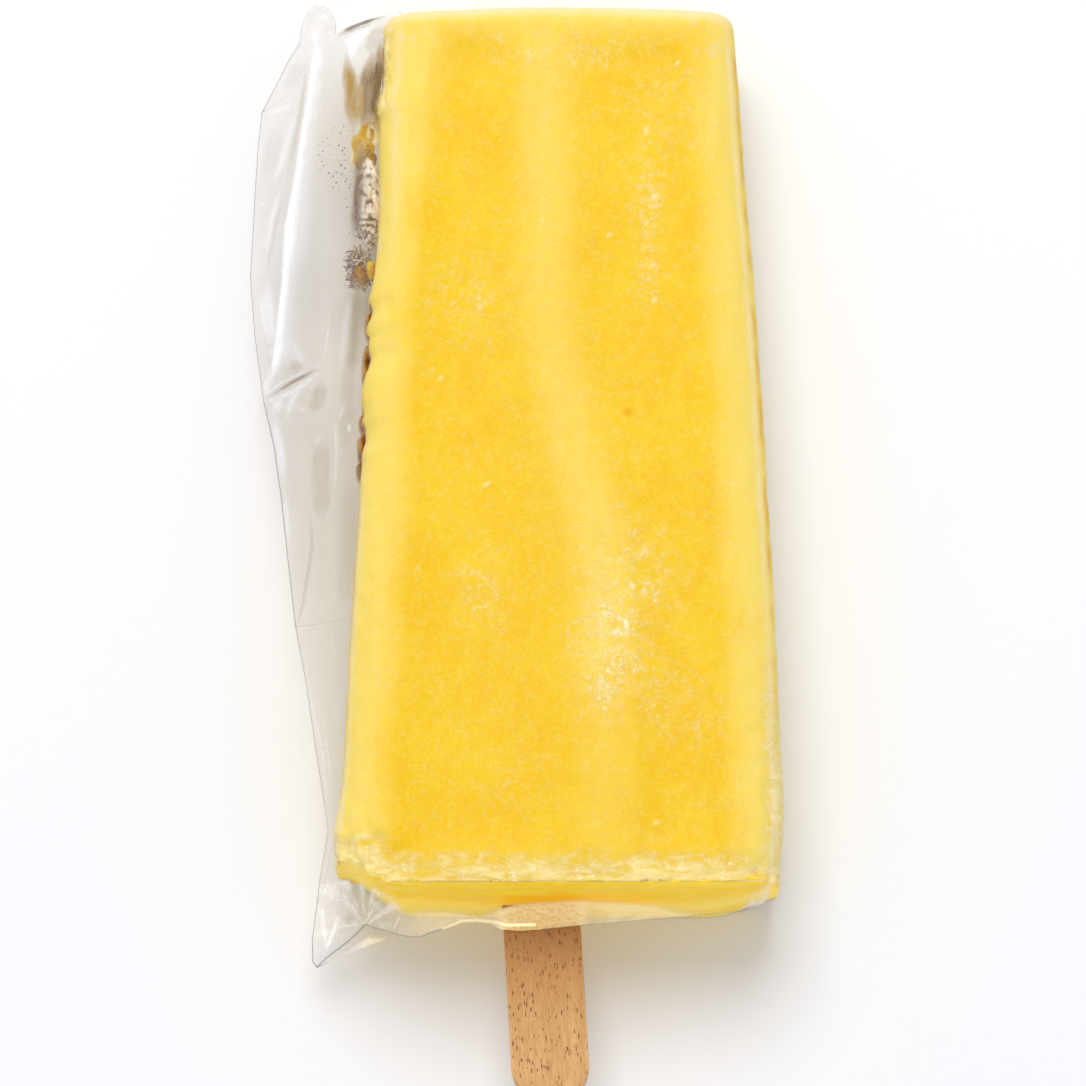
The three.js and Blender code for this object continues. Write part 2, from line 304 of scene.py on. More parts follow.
def relief(point, frost):
    """How far the ice stands off the moulded form, in millimetres."""
    height = 0.1 * noise.noise(point / 14) + 0.05 * noise.noise(point / 4.5)
    height += 0.025 * noise.noise(point / 1.6)
    ridges = 1 - abs(noise.noise((point + Vector((3, 1, 2)) * noise.noise(point / 5)) / 2.1))
    height += frost * (0.16 * ridges ** 4 + 0.07 * noise.noise(point / 1.1))
    rim = ease(-point.y, END - 5.5, END - 0.8) * ease(point.z, 12, 22)
    ridges = noise.noise(Vector((point.x / 6, point.y / 1.7, point.z / 1.7)))
    height += rim * (0.5 * ridges + 0.3 * noise.noise(point / 1.3) - 0.25)
    corner = ease(-point.x, 14, 24) * ease(-point.y, 50, 58) * ease(point.z, 8, 18)
    crumble = 1.3 * noise.noise(point / 2.6 + Vector((5, 2, 1))) + 0.5 * noise.noise(point / 1.1) - 0.2
    height += corner * crumble
    side = ease(abs(point.x), 21, 25) * ease(point.z, 6, 13)
    height += side * (0.14 * noise.noise(point / 2.2) - 0.06)
    left = ease(-point.x, 22, 23) * ease(point.y, 44, 46) * (1 - ease(point.y, 56, 58))
    left *= ease(point.z, 8, 13)
    height += left * 0.3 * noise.noise(point / 0.8)
    return height


class Wire:
    """One output of a shader node. Sums and products of wires and numbers add their Math nodes."""

    def __init__(self, tree, socket=None):
        self.tree = tree
        self.socket = socket

    def node(self, kind, settings, values, output=0):
        made = self.tree.nodes.new(kind)
        for name, setting in settings.items():
            setattr(made, name, setting)
        for name, value in values.items():
            if isinstance(value, Wire):
                self.tree.links.new(value.socket, made.inputs[name])
            else:
                made.inputs[name].default_value = value
        return Wire(self.tree, made.outputs[output])

    def math(self, operation, first, second=0.0):
        return self.node("ShaderNodeMath", {"operation": operation}, {0: first, 1: second})

    def __add__(self, other):
        return self.math("ADD", self, other)

    def __sub__(self, other):
        return self.math("SUBTRACT", self, other)

    def __rsub__(self, other):
        return self.math("SUBTRACT", other, self)

    def __mul__(self, other):
        return self.math("MULTIPLY", self, other)

    def __truediv__(self, other):
        return self.math("DIVIDE", self, other)

    __radd__ = __add__
    __rmul__ = __mul__

    def clamped(self):
        return self.node("ShaderNodeClamp", {}, {"Value": self})

    def larger(self, other):
        return self.math("MAXIMUM", self, other)

    def size(self):
        return self.math("ABSOLUTE", self)

    def eased(self, start, end):
        """0 below start, 1 past end and smooth between them."""
        limits = {"Value": self, "From Min": start, "From Max": end}
        return self.node("ShaderNodeMapRange", {"interpolation_type": "SMOOTHSTEP"}, limits)

    def blend(self, first, second):
        """A colour that goes from first to second as this wire goes from 0 to 1."""
        colours = {"Factor": self, 6: first, 7: second}
        return self.node("ShaderNodeMix", {"data_type": "RGBA"}, colours, output=2)

    def mask(self, name):
        return self.node("ShaderNodeAttribute", {"attribute_name": name}, {}, output=2)

    def place(self):
        """The piece's own coordinates, in millimetres."""
        metres = self.node("ShaderNodeTexCoord", {}, {}, output=3)
        return metres.node("ShaderNodeMapping", {}, {"Vector": metres, "Scale": (1000, 1000, 1000)})

    def stretched(self, scale, turn=(0, 0, 0), shift=(0, 0, 0)):
        values = {"Vector": self, "Scale": scale, "Rotation": turn, "Location": shift}
        return self.node("ShaderNodeMapping", {}, values)

    def cloud(self, size, detail=3.0, roughness=0.55, warp=0.0):
        """Noise about 0.5, with lumps about size millimetres across."""
        values = {"Vector": self, "Scale": 1 / size, "Detail": detail, "Roughness": roughness}
        values["Distortion"] = warp
        return self.node("ShaderNodeTexNoise", {}, values)

    def dots(self, size, dimensions="3D"):
        """The distance to the nearest of scattered points, about size millimetres apart."""
        settings = {"voronoi_dimensions": dimensions}
        return self.node("ShaderNodeTexVoronoi", settings, {"Vector": self, "Scale": 1 / size})

    def bump(self, height, strength, distance):
        values = {"Height": height, "Strength": strength, "Distance": distance}
        return self.node("ShaderNodeBump", {}, values)

    def shader(self, values):
        return self.node("ShaderNodeBsdfPrincipled", {}, values)


def new_material(name):
    """A material with only its output node, and a wire to start from."""
    material = bpy.data.materials.new(name)
    material.use_nodes = True
    material.node_tree.nodes.clear()
    return material, Wire(material.node_tree)


def surface(material, shader):
    material.cycles.emission_sampling = "NONE"
    output = material.node_tree.nodes.new("ShaderNodeOutputMaterial")
    material.node_tree.links.new(shader.socket, output.inputs["Surface"])
    return material


DEEP_YELLOW = (0.84, 0.505, 0, 1)
MANGO_YELLOW = (0.86, 0.58, 0.012, 1)
PALE_YELLOW = (0.885, 0.67, 0.13, 1)
FROST_CREAM = (0.96, 0.82, 0.46, 1)
RIME_CREAM = (0.95, 0.8, 0.42, 1)
GLEAM_CREAM = (0.9, 0.73, 0.4, 1)
END_GLOW = (0.27, 0.19, 0, 1)
# The amber of painted shade, along the right edge and beside the frost's relief.
SHADE_AMBER = (0.72, 0.38, 0.02, 1)
POCKET_SHADE_COLOUR = (0.36, 0.1, 0.004, 1)
SPOT_BROWN = (0.82, 0.36, 0, 1)
BROWN_SPOT = (8.8, 3.2, 22.4)


def mango_ice():
    material, start = new_material("mango_ice")
    place = start.place()
    pale = start.mask("pale")
    frost = start.mask("frost")
    rime = start.mask("rime")
    melt = start.mask("melt")
    broad = place.cloud(9, detail=4)
    streaks = place.stretched((1, 0.16, 1)).cloud(1.7, detail=5)
    mottle = place.stretched((1, 0.7, 1)).cloud(1.6, detail=8, roughness=0.72)
    grain = place.cloud(0.5, detail=5, roughness=0.75)

    depth = (broad.eased(0.36, 0.66) * 0.5 + mottle.eased(0.4, 0.62) * 0.42 + (grain - 0.5) * 0.8).clamped()
    colour = depth.blend(DEEP_YELLOW, MANGO_YELLOW)
    # Paler ice on the shoulders, rib, tip and rim, partly a painted sheen on the raised parts.
    soft_pale = pale * (0.5 + streaks) + grain.eased(0.5, 0.74) * 0.45
    colour = soft_pale.clamped().blend(colour, PALE_YELLOW)
    # Painted highlight: a pale gleam inside the long edges and along the tip's rounded edge.
    colour = (start.mask("gleam") * (0.3 + streaks * 0.9)).clamped().blend(colour, GLEAM_CREAM)
    # Painted shade: an amber line just inside the right edge.
    colour = (start.mask("edge_shade") * 0.8).blend(colour, SHADE_AMBER)

    curls = place.cloud(2.3, detail=5, roughness=0.6, warp=1.8)
    rims = (1 - (curls - 0.5).size() * 22).clamped() * place.cloud(1.3, detail=3).eased(0.42, 0.55)
    flakes = place.cloud(1.25, detail=6, roughness=0.75, warp=0.8).eased(0.54, 0.66)
    broken = place.cloud(3.4, detail=4, roughness=0.7).eased(0.4, 0.54)
    haze = place.cloud(1.6, detail=6, roughness=0.75).eased(0.38, 0.66) * 0.7
    frosty = (frost * ((rims * 1.6 + flakes * 1.4) * broken * 1.2 + haze * 0.7)).clamped()
    colour = frosty.blend(colour, FROST_CREAM)
    # Painted shade beside the frost's relief, in amber.
    pit_shade = (frost * place.cloud(1.1, detail=3, warp=0.6).eased(0.58, 0.66) * broken * 0.4).clamped()
    colour = pit_shade.blend(colour, SHADE_AMBER)

    lumps = place.stretched((0.5, 1, 1)).cloud(1.4, detail=8, roughness=0.76, warp=0.7)
    crumbs = (lumps + rime * 0.14).eased(0.5, 0.7) * rime.eased(0, 0.4) * (0.6 + mottle * 0.7)
    crumbs = crumbs.larger(start.mask("bits")).clamped()
    colour = (crumbs * 0.68).blend(colour, RIME_CREAM)
    gaps = (1 - (lumps + rime * 0.05).eased(0.36, 0.47)) * rime.eased(0.3, 0.9) * 0.8
    colour = gaps.blend(colour, DEEP_YELLOW)
    glints = place.stretched((0.6, 1, 1)).cloud(0.55, detail=3).eased(0.64, 0.7) * rime.eased(0.35, 0.8)
    colour = (glints * 0.8).clamped().blend(colour, (1, 0.95, 0.82, 1))

    ends = {0: place, 1: BROWN_SPOT}
    away = place.node("ShaderNodeVectorMath", {"operation": "DISTANCE"}, ends, output=1)
    spot = (1 - away.eased(0.15, 1.1)) * 0.9
    colour = spot.blend(colour, SPOT_BROWN)
    # Painted shade: the melt pockets under the left shoulder are drawn dark amber.
    colour = melt.eased(0.05, 0.3).blend(colour, POCKET_SHADE_COLOUR)

    # Painted light: the base end, in the bar's own shade, glows amber as if lit through the ice.
    end = start.mask("end") * (1.2 - mottle * 0.5)
    height = mottle * 0.3 + grain * 0.4 + frosty * 0.7 + crumbs * 0.8
    skin = {
        "Base Color": colour,
        "Roughness": (0.42 + frosty * 0.3 - melt * 0.3 + (grain - 0.5) * 0.2).clamped(),
        "Subsurface Weight": 0.22,
        "Subsurface Radius": (1.0, 0.6, 0.2),
        "Subsurface Scale": 0.0018,
        "Specular IOR Level": 0.12,
        "Emission Color": end.clamped().blend((0, 0, 0, 1), END_GLOW),
        "Emission Strength": 1,
        "Normal": place.bump(height, 0.4, 0.0004),
    }
    return surface(material, start.shader(skin))


def make_bar():
    shape = divided_box(*BAR_CUTS)
    for vertex in shape.verts:
        vertex.co = bar_point(*vertex.co)
    shape.verts.ensure_lookup_table()
    shape.verts.index_update()
    shape.normal_update()
    masks = {mask: [] for mask in ("pale", "frost", "rime", "bits", "gleam", "edge_shade", "melt", "end")}
    moved = []
    for vertex in shape.verts:
        point = vertex.co.copy()
        side = point.z / thickness(point.y)
        frost = frost_at(point.x, point.y) * ease(side, 0.5, 0.9)
        frost += frost_at(-point.x, -point.y) * ease(1 - side, 0.5, 0.9)
        frost = max(frost, 0.08)
        melt = melt_at(point)
        bit = 0
        for x, y, size in FROST_BITS:
            bit = max(bit, 1 - math.hypot(point.x - x, point.y - y) / size)
        bit *= ease(side, 0.7, 0.9)
        depth = ICE_INSET - relief(point, frost) - 0.15 * bit
        ground = min(1, max(0.15, point.z))
        place = point - vertex.normal * max(depth, 0.02) * ground
        place.x += melt
        moved.append(place)
        gleam, edge_shade = side_marks(point)
        masks["pale"].append(paleness_and_sheen(point, rib_centre(point.y) if side > 0.5 else 0))
        masks["frost"].append(frost)
        masks["rime"].append(rime_at(point, vertex.normal))
        masks["bits"].append(ease(bit, 0.1, 0.6))
        masks["gleam"].append(gleam)
        masks["edge_shade"].append(edge_shade)
        masks["melt"].append(melt * (1 - ease(vertex.normal.z, 0.1, 0.4)))
        masks["end"].append(ease(-vertex.normal.y, 0.3, 0.9) * ease(-point.y, 50, 58))
    for vertex, place in zip(shape.verts, moved):
        vertex.co = place
        vertex.co.z = max(vertex.co.z, 0.12)
    return finish("mango_bar", shape, mango_ice(), masks)


bar = make_bar()
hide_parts("ice_block")


# ---- The stick ----
# A flat beech stick, pressed from sheet and tumbled smooth, with round ends. Its dark flecks run
# along the grain, and beside the bar it is painted darker, a painted shadow of the bar's base end.

STICK_LEAN = math.radians(3.3)
STICK_MIDDLE = -6.08
BEECH = (0.56, 0.28, 0.09, 1)
BEECH_LIGHT = (0.72, 0.44, 0.185, 1)
BEECH_FLECK = (0.16, 0.06, 0.018, 1)
BEECH_SHADOW = (0.36, 0.14, 0.03, 1)
BEECH_EDGE = (0.82, 0.5, 0.2, 1)


def beech():
    material, start = new_material("beech")
    place = start.place().stretched((1, 1, 1), turn=(0, 0, -STICK_LEAN))
    across = place.node("ShaderNodeSeparateXYZ", {}, {"Vector": place}, output=0)
    along = place.node("ShaderNodeSeparateXYZ", {}, {"Vector": place}, output=1)
    bands = place.stretched((1, 0.05, 1)).cloud(1.4, detail=4)
    fibres = place.stretched((1, 0.09, 1)).cloud(0.22, detail=4, roughness=0.75)
    cells = place.stretched((3.2, 0.7, 1)).dots(1)
    flecks = (1 - cells.eased(0.16, 0.34)) * place.cloud(0.9).eased(0.46, 0.56)
    long_cells = place.stretched((2.1, 0.35, 1), shift=(0.4, 0.3, 0)).dots(1)
    flecks = flecks.larger((1 - long_cells.eased(0.08, 0.2)) * place.cloud(1.7).eased(0.45, 0.55))
    colour = (bands * 0.35 + fibres * 0.75).eased(0.4, 0.7).blend(BEECH, BEECH_LIGHT)
    worn = ((across - STICK_MIDDLE).size() + bands * 0.3).eased(4.75, 5.05) * 0.7
    colour = worn.blend(colour, BEECH_EDGE)
    # Painted shadow: the stick darkens towards the bar's base end.
    shadowed = along.eased(-82, -62) * (0.75 + bands * 0.3)
    colour = (shadowed * 0.8).clamped().blend(colour, BEECH_SHADOW)
    colour = (flecks * 0.95).clamped().blend(colour, BEECH_FLECK)
    wood = {
        "Base Color": colour,
        "Roughness": 0.5 + fibres * 0.25,
        "Specular IOR Level": 0.3,
        "Normal": place.bump(fibres - flecks * 0.6, 0.5, 0.0002),
    }
    return surface(material, start.shader(wood))


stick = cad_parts["stick"]
stick.data.materials.clear()
stick.data.materials.append(beech())


# ---- What the slack has caught ----
# Between film and bar lie a shred of mango pulp, a lump of frost with dark specks, a cluster of
# frost needles frozen round a drop of juice, and dark amber drops in the pockets that have melted,
# which are painted shade under the melted edge.

# Noise vectors differ from run to run unless they are seeded.
PULP_SEED = 4
PULP_YELLOW = (0.84, 0.53, 0.006, 1)
PULP_OLIVE = (0.6, 0.42, 0.11, 1)
PULP_BROWN = (0.22, 0.11, 0.02, 1)
PULP_CREAM = (0.86, 0.74, 0.42, 1)
FROST_WHITE = (0.93, 0.87, 0.8, 1)
FROST_SHADE = (0.26, 0.17, 0.1, 1)
NEEDLE_WHITE = (0.9, 0.85, 0.8, 1)
NEEDLE_BROWN = (0.26, 0.15, 0.1, 1)
# Dark and orange for the drops; in the melt pockets they are painted shade.
DROP_DARK = (0.27, 0.09, 0.004, 1)
DROP_ORANGE = (0.7, 0.34, 0.01, 1)
JUICE_YELLOW = (0.92, 0.6, 0.01, 1)


def side_of_bar(y):
    return melted(y, LEFT_MELT) - half_width(y)


def lump(middle, radii, cuts, roughness, size, seed):
    """A ball pushed into a rough lump."""
    shape = bmesh.new()
    bmesh.ops.create_icosphere(shape, subdivisions=cuts, radius=1)
    for vertex in shape.verts:
        away = vertex.co.copy()
        swell = noise.fractal(away * size + Vector((seed, 0, 0)), 0.7, 2, 5)
        vertex.co = away * (1 + roughness * swell)
    bmesh.ops.scale(shape, vec=radii, verts=shape.verts)
    bmesh.ops.translate(shape, vec=middle, verts=shape.verts)
    return shape


def add_to(whole, shape):
    """Moves a shape into another."""
    mesh = bpy.data.meshes.new("part")
    shape.to_mesh(mesh)
    shape.free()
    whole.from_mesh(mesh)
    bpy.data.meshes.remove(mesh)


def strand(shape, path, radius):
    """A round strand through a line of points, closed and tapered at both ends."""
    ring = bmesh.ops.create_circle(shape, segments=8, radius=radius * 0.3)["verts"]
    turn = (path[1] - path[0]).to_track_quat("Z", "Y").to_matrix().to_4x4()
    bmesh.ops.transform(shape, matrix=Matrix.Translation(path[0]) @ turn, verts=ring)
    edges = [e for e in shape.edges if e.is_wire]
    bmesh.ops.contextual_create(shape, geom=edges)
    for i in range(1, len(path)):
        made = bmesh.ops.extrude_edge_only(shape, edges=edges)["geom"]
        ring = [g for g in made if isinstance(g, bmesh.types.BMVert)]
        edges = [g for g in made if isinstance(g, bmesh.types.BMEdge) and g.is_boundary]
        after = path[min(i + 1, len(path) - 1)] - path[i - 1]
        middle = sum((v.co for v in ring), Vector()) / len(ring)
        swing = (path[i] - path[i - 1] if i == 1 else path[i - 1] - path[i - 2])
        swing = swing.rotation_difference(after).to_matrix().to_4x4()
        last = i == len(path) - 1
        girth = 0.3 if last else 1 / 0.3 if i == 1 else 1
        move = Matrix.Translation(path[i]) @ swing @ Matrix.Scale(girth, 4) @ Matrix.Translation(-middle)
        bmesh.ops.transform(shape, matrix=move, verts=ring)
    bmesh.ops.contextual_create(shape, geom=edges)


def pulp_flesh():
    material, start = new_material("mango_pulp")
    place = start.place()
    cream = start.mask("cream")
    blots = place.cloud(0.9, detail=4, roughness=0.6)
    brown = place.cloud(1.1, detail=4, roughness=0.6)
    colour = (start.mask("ripe") + (blots - 0.5)).clamped().blend(PULP_OLIVE, PULP_YELLOW)
    colour = (brown.eased(0.58, 0.68) * 0.8).blend(colour, PULP_BROWN)
    colour = (cream * (0.5 + blots)).clamped().blend(colour, PULP_CREAM)
    # Painted light: the pulp glows, most in its cream strands and yellow flesh, as if lit through.
    glow = cream.larger(start.mask("ripe")) * 0.2
    flesh = {
        "Base Color": colour,
        "Emission Color": glow.clamped().blend((0, 0, 0, 1), colour),
        "Emission Strength": 1,
        "Roughness": 0.3 + blots * 0.3,
        "Specular IOR Level": 0.3,
        "Subsurface Weight": 0.3,
        "Subsurface Radius": (1.0, 0.5, 0.2),
        "Subsurface Scale": 0.0006,
        "Normal": place.bump(blots, 0.5, 0.0003),
    }
    return surface(material, start.shader(flesh))


def make_pulp():
    side = side_of_bar(44)
    shape = lump((side - 2.3, 43.9, 8.0), (1.5, 2.1, 4.0), 5, 0.3, 1.3, 3)
    olive = len(shape.verts)
    add_to(shape, lump((side - 1.8, 44.9, 10.6), (1.25, 1.7, 2.6), 4, 0.35, 1.5, 9))
    soft = len(shape.verts)
    curl = []
    for i in range(15):
        turn = math.radians(-75 + i * 20)
        x = side - 0.8 + 0.6 * math.cos(turn)
        curl.append(Vector((x, 44.4 + 1.45 * math.sin(turn), 13.6 + 0.05 * i)))
    strand(shape, curl, 0.5)
    wisp = [Vector((side - 2.6 + 0.26 * i, 46 + 0.5 * math.sin(i * 0.35), 12.2 + 0.1 * i)) for i in range(9)]
    strand(shape, wisp, 0.24)
    tail = [Vector((side - 3.5 - 0.04 * i, 45 - 0.5 * i, 10.8 - 0.2 * i)) for i in range(8)]
    strand(shape, tail, 0.16)
    noise.seed_set(PULP_SEED)
    for vertex in shape.verts:
        vertex.co += 0.12 * noise.noise_vector(vertex.co / 0.7)
    bmesh.ops.recalc_face_normals(shape, faces=shape.faces)
    shape.verts.index_update()
    masks = {"cream": [], "ripe": []}
    for vertex in shape.verts:
        high = ease(noise.noise(vertex.co / 0.8 + Vector((9, 0, 0))), 0.15, 0.4)
        masks["cream"].append(0.9 if vertex.index >= soft else 0.6 * high)
        masks["ripe"].append(1 if vertex.index >= olive else 0.45)
    return finish("mango_pulp", shape, pulp_flesh(), masks)


def speckled_frost():
    material, start = new_material("speckled_frost")
    place = start.place()
    cover = place.cloud(1.5, detail=5, roughness=0.65)
    folds = place.stretched((0.4, 1, 1)).cloud(0.9, detail=3)
    dots = (1 - place.dots(1.0).eased(0.1, 0.24)) * place.cloud(1.1, detail=2).eased(0.45, 0.6)
    shade = (cover.eased(0.5, 0.75) * 0.4 + folds.eased(0.52, 0.7) * 0.3 + start.mask("lump_shade")).clamped()
    colour = shade.blend(FROST_WHITE, FROST_SHADE)
    colour = dots.clamped().blend(colour, (0.1, 0.06, 0.035, 1))
    # Painted light: where it is not shaded the lump glows, as if lit through the frost.
    glow = (1 - shade) * 0.3
    frost = {
        "Base Color": colour,
        "Emission Color": glow.clamped().blend((0, 0, 0, 1), colour),
        "Emission Strength": 1,
        "Roughness": 0.6 + cover * 0.3,
        "Subsurface Weight": 0.2,
        "Subsurface Radius": (1.0, 0.8, 0.6),
        "Subsurface Scale": 0.0006,
        "Normal": place.bump(cover * 0.6 + folds * 0.4 - dots * 0.3, 0.6, 0.0004),
    }
    return surface(material, start.shader(frost))


def make_frost_lump():
    side = side_of_bar(36)
    shape = lump((side - 1.55, 36.2, 8.6), (1.8, 5.7, 5.4), 6, 0.2, 1.6, 8)
    lump_shades = []
    for vertex in shape.verts:
        x, y, z = vertex.co
        ribs = ease(34 - y, 0, 1.2) * ease(z, 7, 11)
        wave = math.sin((y + 0.25 * math.sin(z * 2)) * 7.6)
        pleat = noise.noise(Vector((x * 0.8, y * 1.1, z * 0.8)))
        vertex.co.x -= 0.14 * ribs * wave + 0.3 * pleat
        vertex.co.z += 0.1 * ribs * wave
        # Painted shade: darker in the hollows of the ribs and pleats, and on the flank away from the bar.
        lump_shade = max(0.8 * ribs * ease(-wave, 0, 0.6), 0.7 * ease(-pleat, 0.1, 0.45))
        lump_shades.append(max(lump_shade, 0.8 * ease(side - 2.1 - x, 0, 1)))
    return finish("frost_lump_rough", shape, speckled_frost(), {"lump_shade": lump_shades})


def frost_needle():
    material, start = new_material("frost_needles")
    place = start.place()
    needle_tone = start.mask("needle_tone")
    grain = place.cloud(0.4, detail=2)
    colour = (needle_tone + (grain - 0.5) * 0.5).clamped().blend(NEEDLE_WHITE, NEEDLE_BROWN)
    needle = {
        "Base Color": colour,
        "Roughness": 0.25 + grain * 0.2,
        "Normal": place.bump(grain, 0.3, 0.0001),
    }
    return surface(material, start.shader(needle))


def make_needles():
    random.seed(5)
    side = side_of_bar(27)
    middle = Vector((side - 2.5, 27.3, 8.6))
    shape = bmesh.new()
    needle_tones = []
    for i in range(560):
        away = Vector([random.gauss(0, 1) for _ in range(3)]).normalized() * random.random() ** 0.4
        spot = middle + Vector((away.x * 1.8, away.y * 2.8, away.z * 4.6))
        length = random.uniform(0.9, 2.2)
        girth = random.uniform(0.07, 0.14)
        made = bmesh.ops.create_cone(shape, cap_ends=True, segments=5, radius1=girth, radius2=0.02,
                                     depth=length)["verts"]
        turn = Euler([random.uniform(0, math.tau) for _ in range(3)]).to_matrix().to_4x4()
        bmesh.ops.transform(shape, matrix=Matrix.Translation(spot) @ turn, verts=made)
        # Each needle gets a tone from white to brown, at random.
        needle_tones += [random.choice((0.05, 0.1, 0.25, 0.7, 0.95))] * len(made)
    reach = side - 0.05
    for vertex in shape.verts:
        vertex.co.x = min(max(vertex.co.x, middle.x - 2.2), reach)
        vertex.co.z = max(vertex.co.z, 1.2)
    return finish("frost_needles", shape, frost_needle(), {"needle_tone": needle_tones}, smooth=False)


def dark_drop():
    material, start = new_material("dark_drop")
    place = start.place()
    clouds = place.cloud(1.6, detail=3)
    colour = clouds.eased(0.3, 0.75).blend(DROP_DARK, DROP_ORANGE)
    juice_and_shade = {
        "Base Color": start.mask("ripe").blend(colour, JUICE_YELLOW),
        "Roughness": 0.2 + clouds * 0.1,
        "Specular IOR Level": 0.25,
        "Subsurface Weight": 0.25,
        "Subsurface Radius": (1.0, 0.3, 0.05),
        "Subsurface Scale": 0.001,
        "Normal": place.bump(clouds, 0.2, 0.0003),
    }
    return surface(material, start.shader(juice_and_shade))


def make_dark_drops():
    """A flat dark drop in each melt pocket, painted shade under the melted edge, and two frozen among the
    needles.
    """
    whole = bmesh.new()
    side = side_of_bar(26)
    drops = [((side - 0.7, 25.9, 12), (0.7, 1.0, 2.5), 7), ((side - 2.3, 25.7, 10.2), (0.95, 1.15, 3.0), 4)]
    for middle, reach in POCKET_SHADE_DROPS:
        drops.append(((0.62 - half_width(middle), middle, 12.2), (0.85, reach * 1.1, 4.2), 6))
    ripe = []
    for place, radii, seed in drops:
        add_to(whole, lump(place, radii, 4, 0.12, 1.2, seed))
        ripe += [0 if ripe else 1] * (len(whole.verts) - len(ripe))
    return finish("dark_drops", whole, dark_drop(), {"ripe": ripe})


pulp = make_pulp()
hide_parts("pulp_chunk")

rough_frost = make_frost_lump()
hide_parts("frost_lump")

needles = make_needles()
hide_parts("frost_crystals")

juice_and_shade = make_dark_drops()


# ---- The film that clings to the bar ----
# The sleeve is drawn from one tube of clear film. Frost holds it to the front, the tip, the right
# side and the back of the bar, and there only its sharpest wrinkles show.

FILM_WHITE = (0.93, 0.93, 0.93, 1)
FILM_SHADE = (0.42, 0.34, 0.22, 1)
CLINGING_TINT = (0.995, 0.995, 0.99, 1)
CLINGING_SHEEN = 0.03
SKIN_CUTS = (112, 232, 24)
OUTER_FOLD = [
    (-35.3, 59.6, 9.2), (-37, 56.8, 8.4), (-38.9, 53, 7.7), (-40.5, 49.9, 7.2), (-41, 44.7, 6.8),
    (-41.3, 39, 6.5), (-41.8, 26.9, 6.1), (-41.1, 18.7, 6.5), (-39.7, 8.9, 7), (-38.3, 2.9, 7.4),
    (-37.2, -4.4, 7.8), (-36.1, -13.7, 8.4), (-35, -22.5, 9), (-33.4, -30.9, 9.2), (-32.1, -39.4, 9.3),
    (-30.9, -46.6, 9.4), (-30.4, -50.1, 9.5), (-31.4, -56, 8.5), (-31.8, -59.5, 8), (-32.4, -64.2, 7.4),
    (-32.3, -67, 7.1), (-31.7, -67.8, 7),
]


def fold_at(y):
    """Where the outer fold is: across and up."""
    rising = sorted(OUTER_FOLD, key=lambda p: p[1])
    stops = [p[1] for p in rising]
    return read(y, stops, [p[0] for p in rising]), read(y, stops, [p[2] for p in rising])


def leaves_bar(y, side):
    """Where film from the outer fold meets the bar's front (side 1) or back (side -1)."""
    across, up = fold_at(y)
    middle_x = SHOULDER_WIDTH - half_width(y)
    middle_z = SHOULDER_DEPTH if side < 0 else thickness(y) - SHOULDER_DEPTH
    along = (middle_x - across) / SHOULDER_WIDTH
    rise = side * (middle_z - up) / SHOULDER_DEPTH
    angle = math.atan2(along, -rise) - math.acos(1 / math.hypot(along, rise))
    if side > 0:
        angle = math.radians(69)
    x = middle_x - SHOULDER_WIDTH * math.sin(angle)
    x += melted(y, LEFT_MELT) * math.sin(angle) ** 2
    return Vector((x, y, middle_z + side * SHOULDER_DEPTH * math.cos(angle)))


def film_streaks(place):
    return place.stretched((1, 0.16, 1)).cloud(1.1, detail=4)


def film_sheen(start, strength):
    """The gloss of film, which grows where it is seen at a slant."""
    return start.node("ShaderNodeLayerWeight", {}, {"Blend": 0.25}, output=1) * strength


def film_surface(material, tint, colour, glow, cover, relief):
    """Film that shows what lies behind it where cover is 0, and its own colour where cover is 1."""
    gloss = {
        "Base Color": colour,
        "Roughness": 0.14,
        "Specular IOR Level": 0.5,
        # Painted light: the glow keeps the film's whites bright where they lie in shade.
        "Emission Color": glow.clamped().blend((0, 0, 0, 1), colour),
        "Emission Strength": 1,
    }
    clear = cover.node("ShaderNodeBsdfTransparent", {}, {"Color": tint})
    both = {0: cover.clamped(), 1: clear, 2: cover.shader(gloss | relief)}
    return surface(material, cover.node("ShaderNodeMixShader", {}, both))


def clinging_film():
    material, start = new_material("clinging_film")
    place = start.place()
    # Painted highlights on the tight wrinkles, and a faint gloss where the film is seen at a slant.
    white = start.mask("highlight") * (0.65 + film_streaks(place) * 0.7) + film_sheen(start, CLINGING_SHEEN)
    colour = (white / (white + 0.01)).clamped().blend(FILM_SHADE, FILM_WHITE)
    return film_surface(material, CLINGING_TINT, colour, white * white * 0.26, white, {})


def nearest_on(x, y, line):
    """How far a place is from a line of points in plan, and where on it that is, from 0 to 1."""
    nearest = math.inf
    for i, (start, end) in enumerate(zip(line, line[1:])):
        along_x = end[0] - start[0]
        along_y = end[1] - start[1]
        dot = (x - start[0]) * along_x + (y - start[1]) * along_y
        share = clamp(dot / (along_x ** 2 + along_y ** 2))
        away = math.hypot(x - start[0] - share * along_x, y - start[1] - share * along_y)
        if away < nearest:
            nearest = away
            along = (i + share) / (len(line) - 1)
    return nearest, along


def soft_stroke(x, y, strokes):
    """The strongest of some soft strokes at a place.

    Each stroke is a line, its half width, its reach and its strength.
    """
    strongest = 0
    for line, width, reach, strength in strokes:
        low = min(p[1] for p in line) - reach
        high = max(p[1] for p in line) + reach
        if strength > strongest and low < y < high:
            away, along = nearest_on(x, y, line)
            taper = 0.3 + 0.7 * ease(min(along, 1 - along), 0, 0.3)
            strongest = max(strongest, strength * taper * (1 - ease(away, width * taper, reach * taper)))
    return strongest


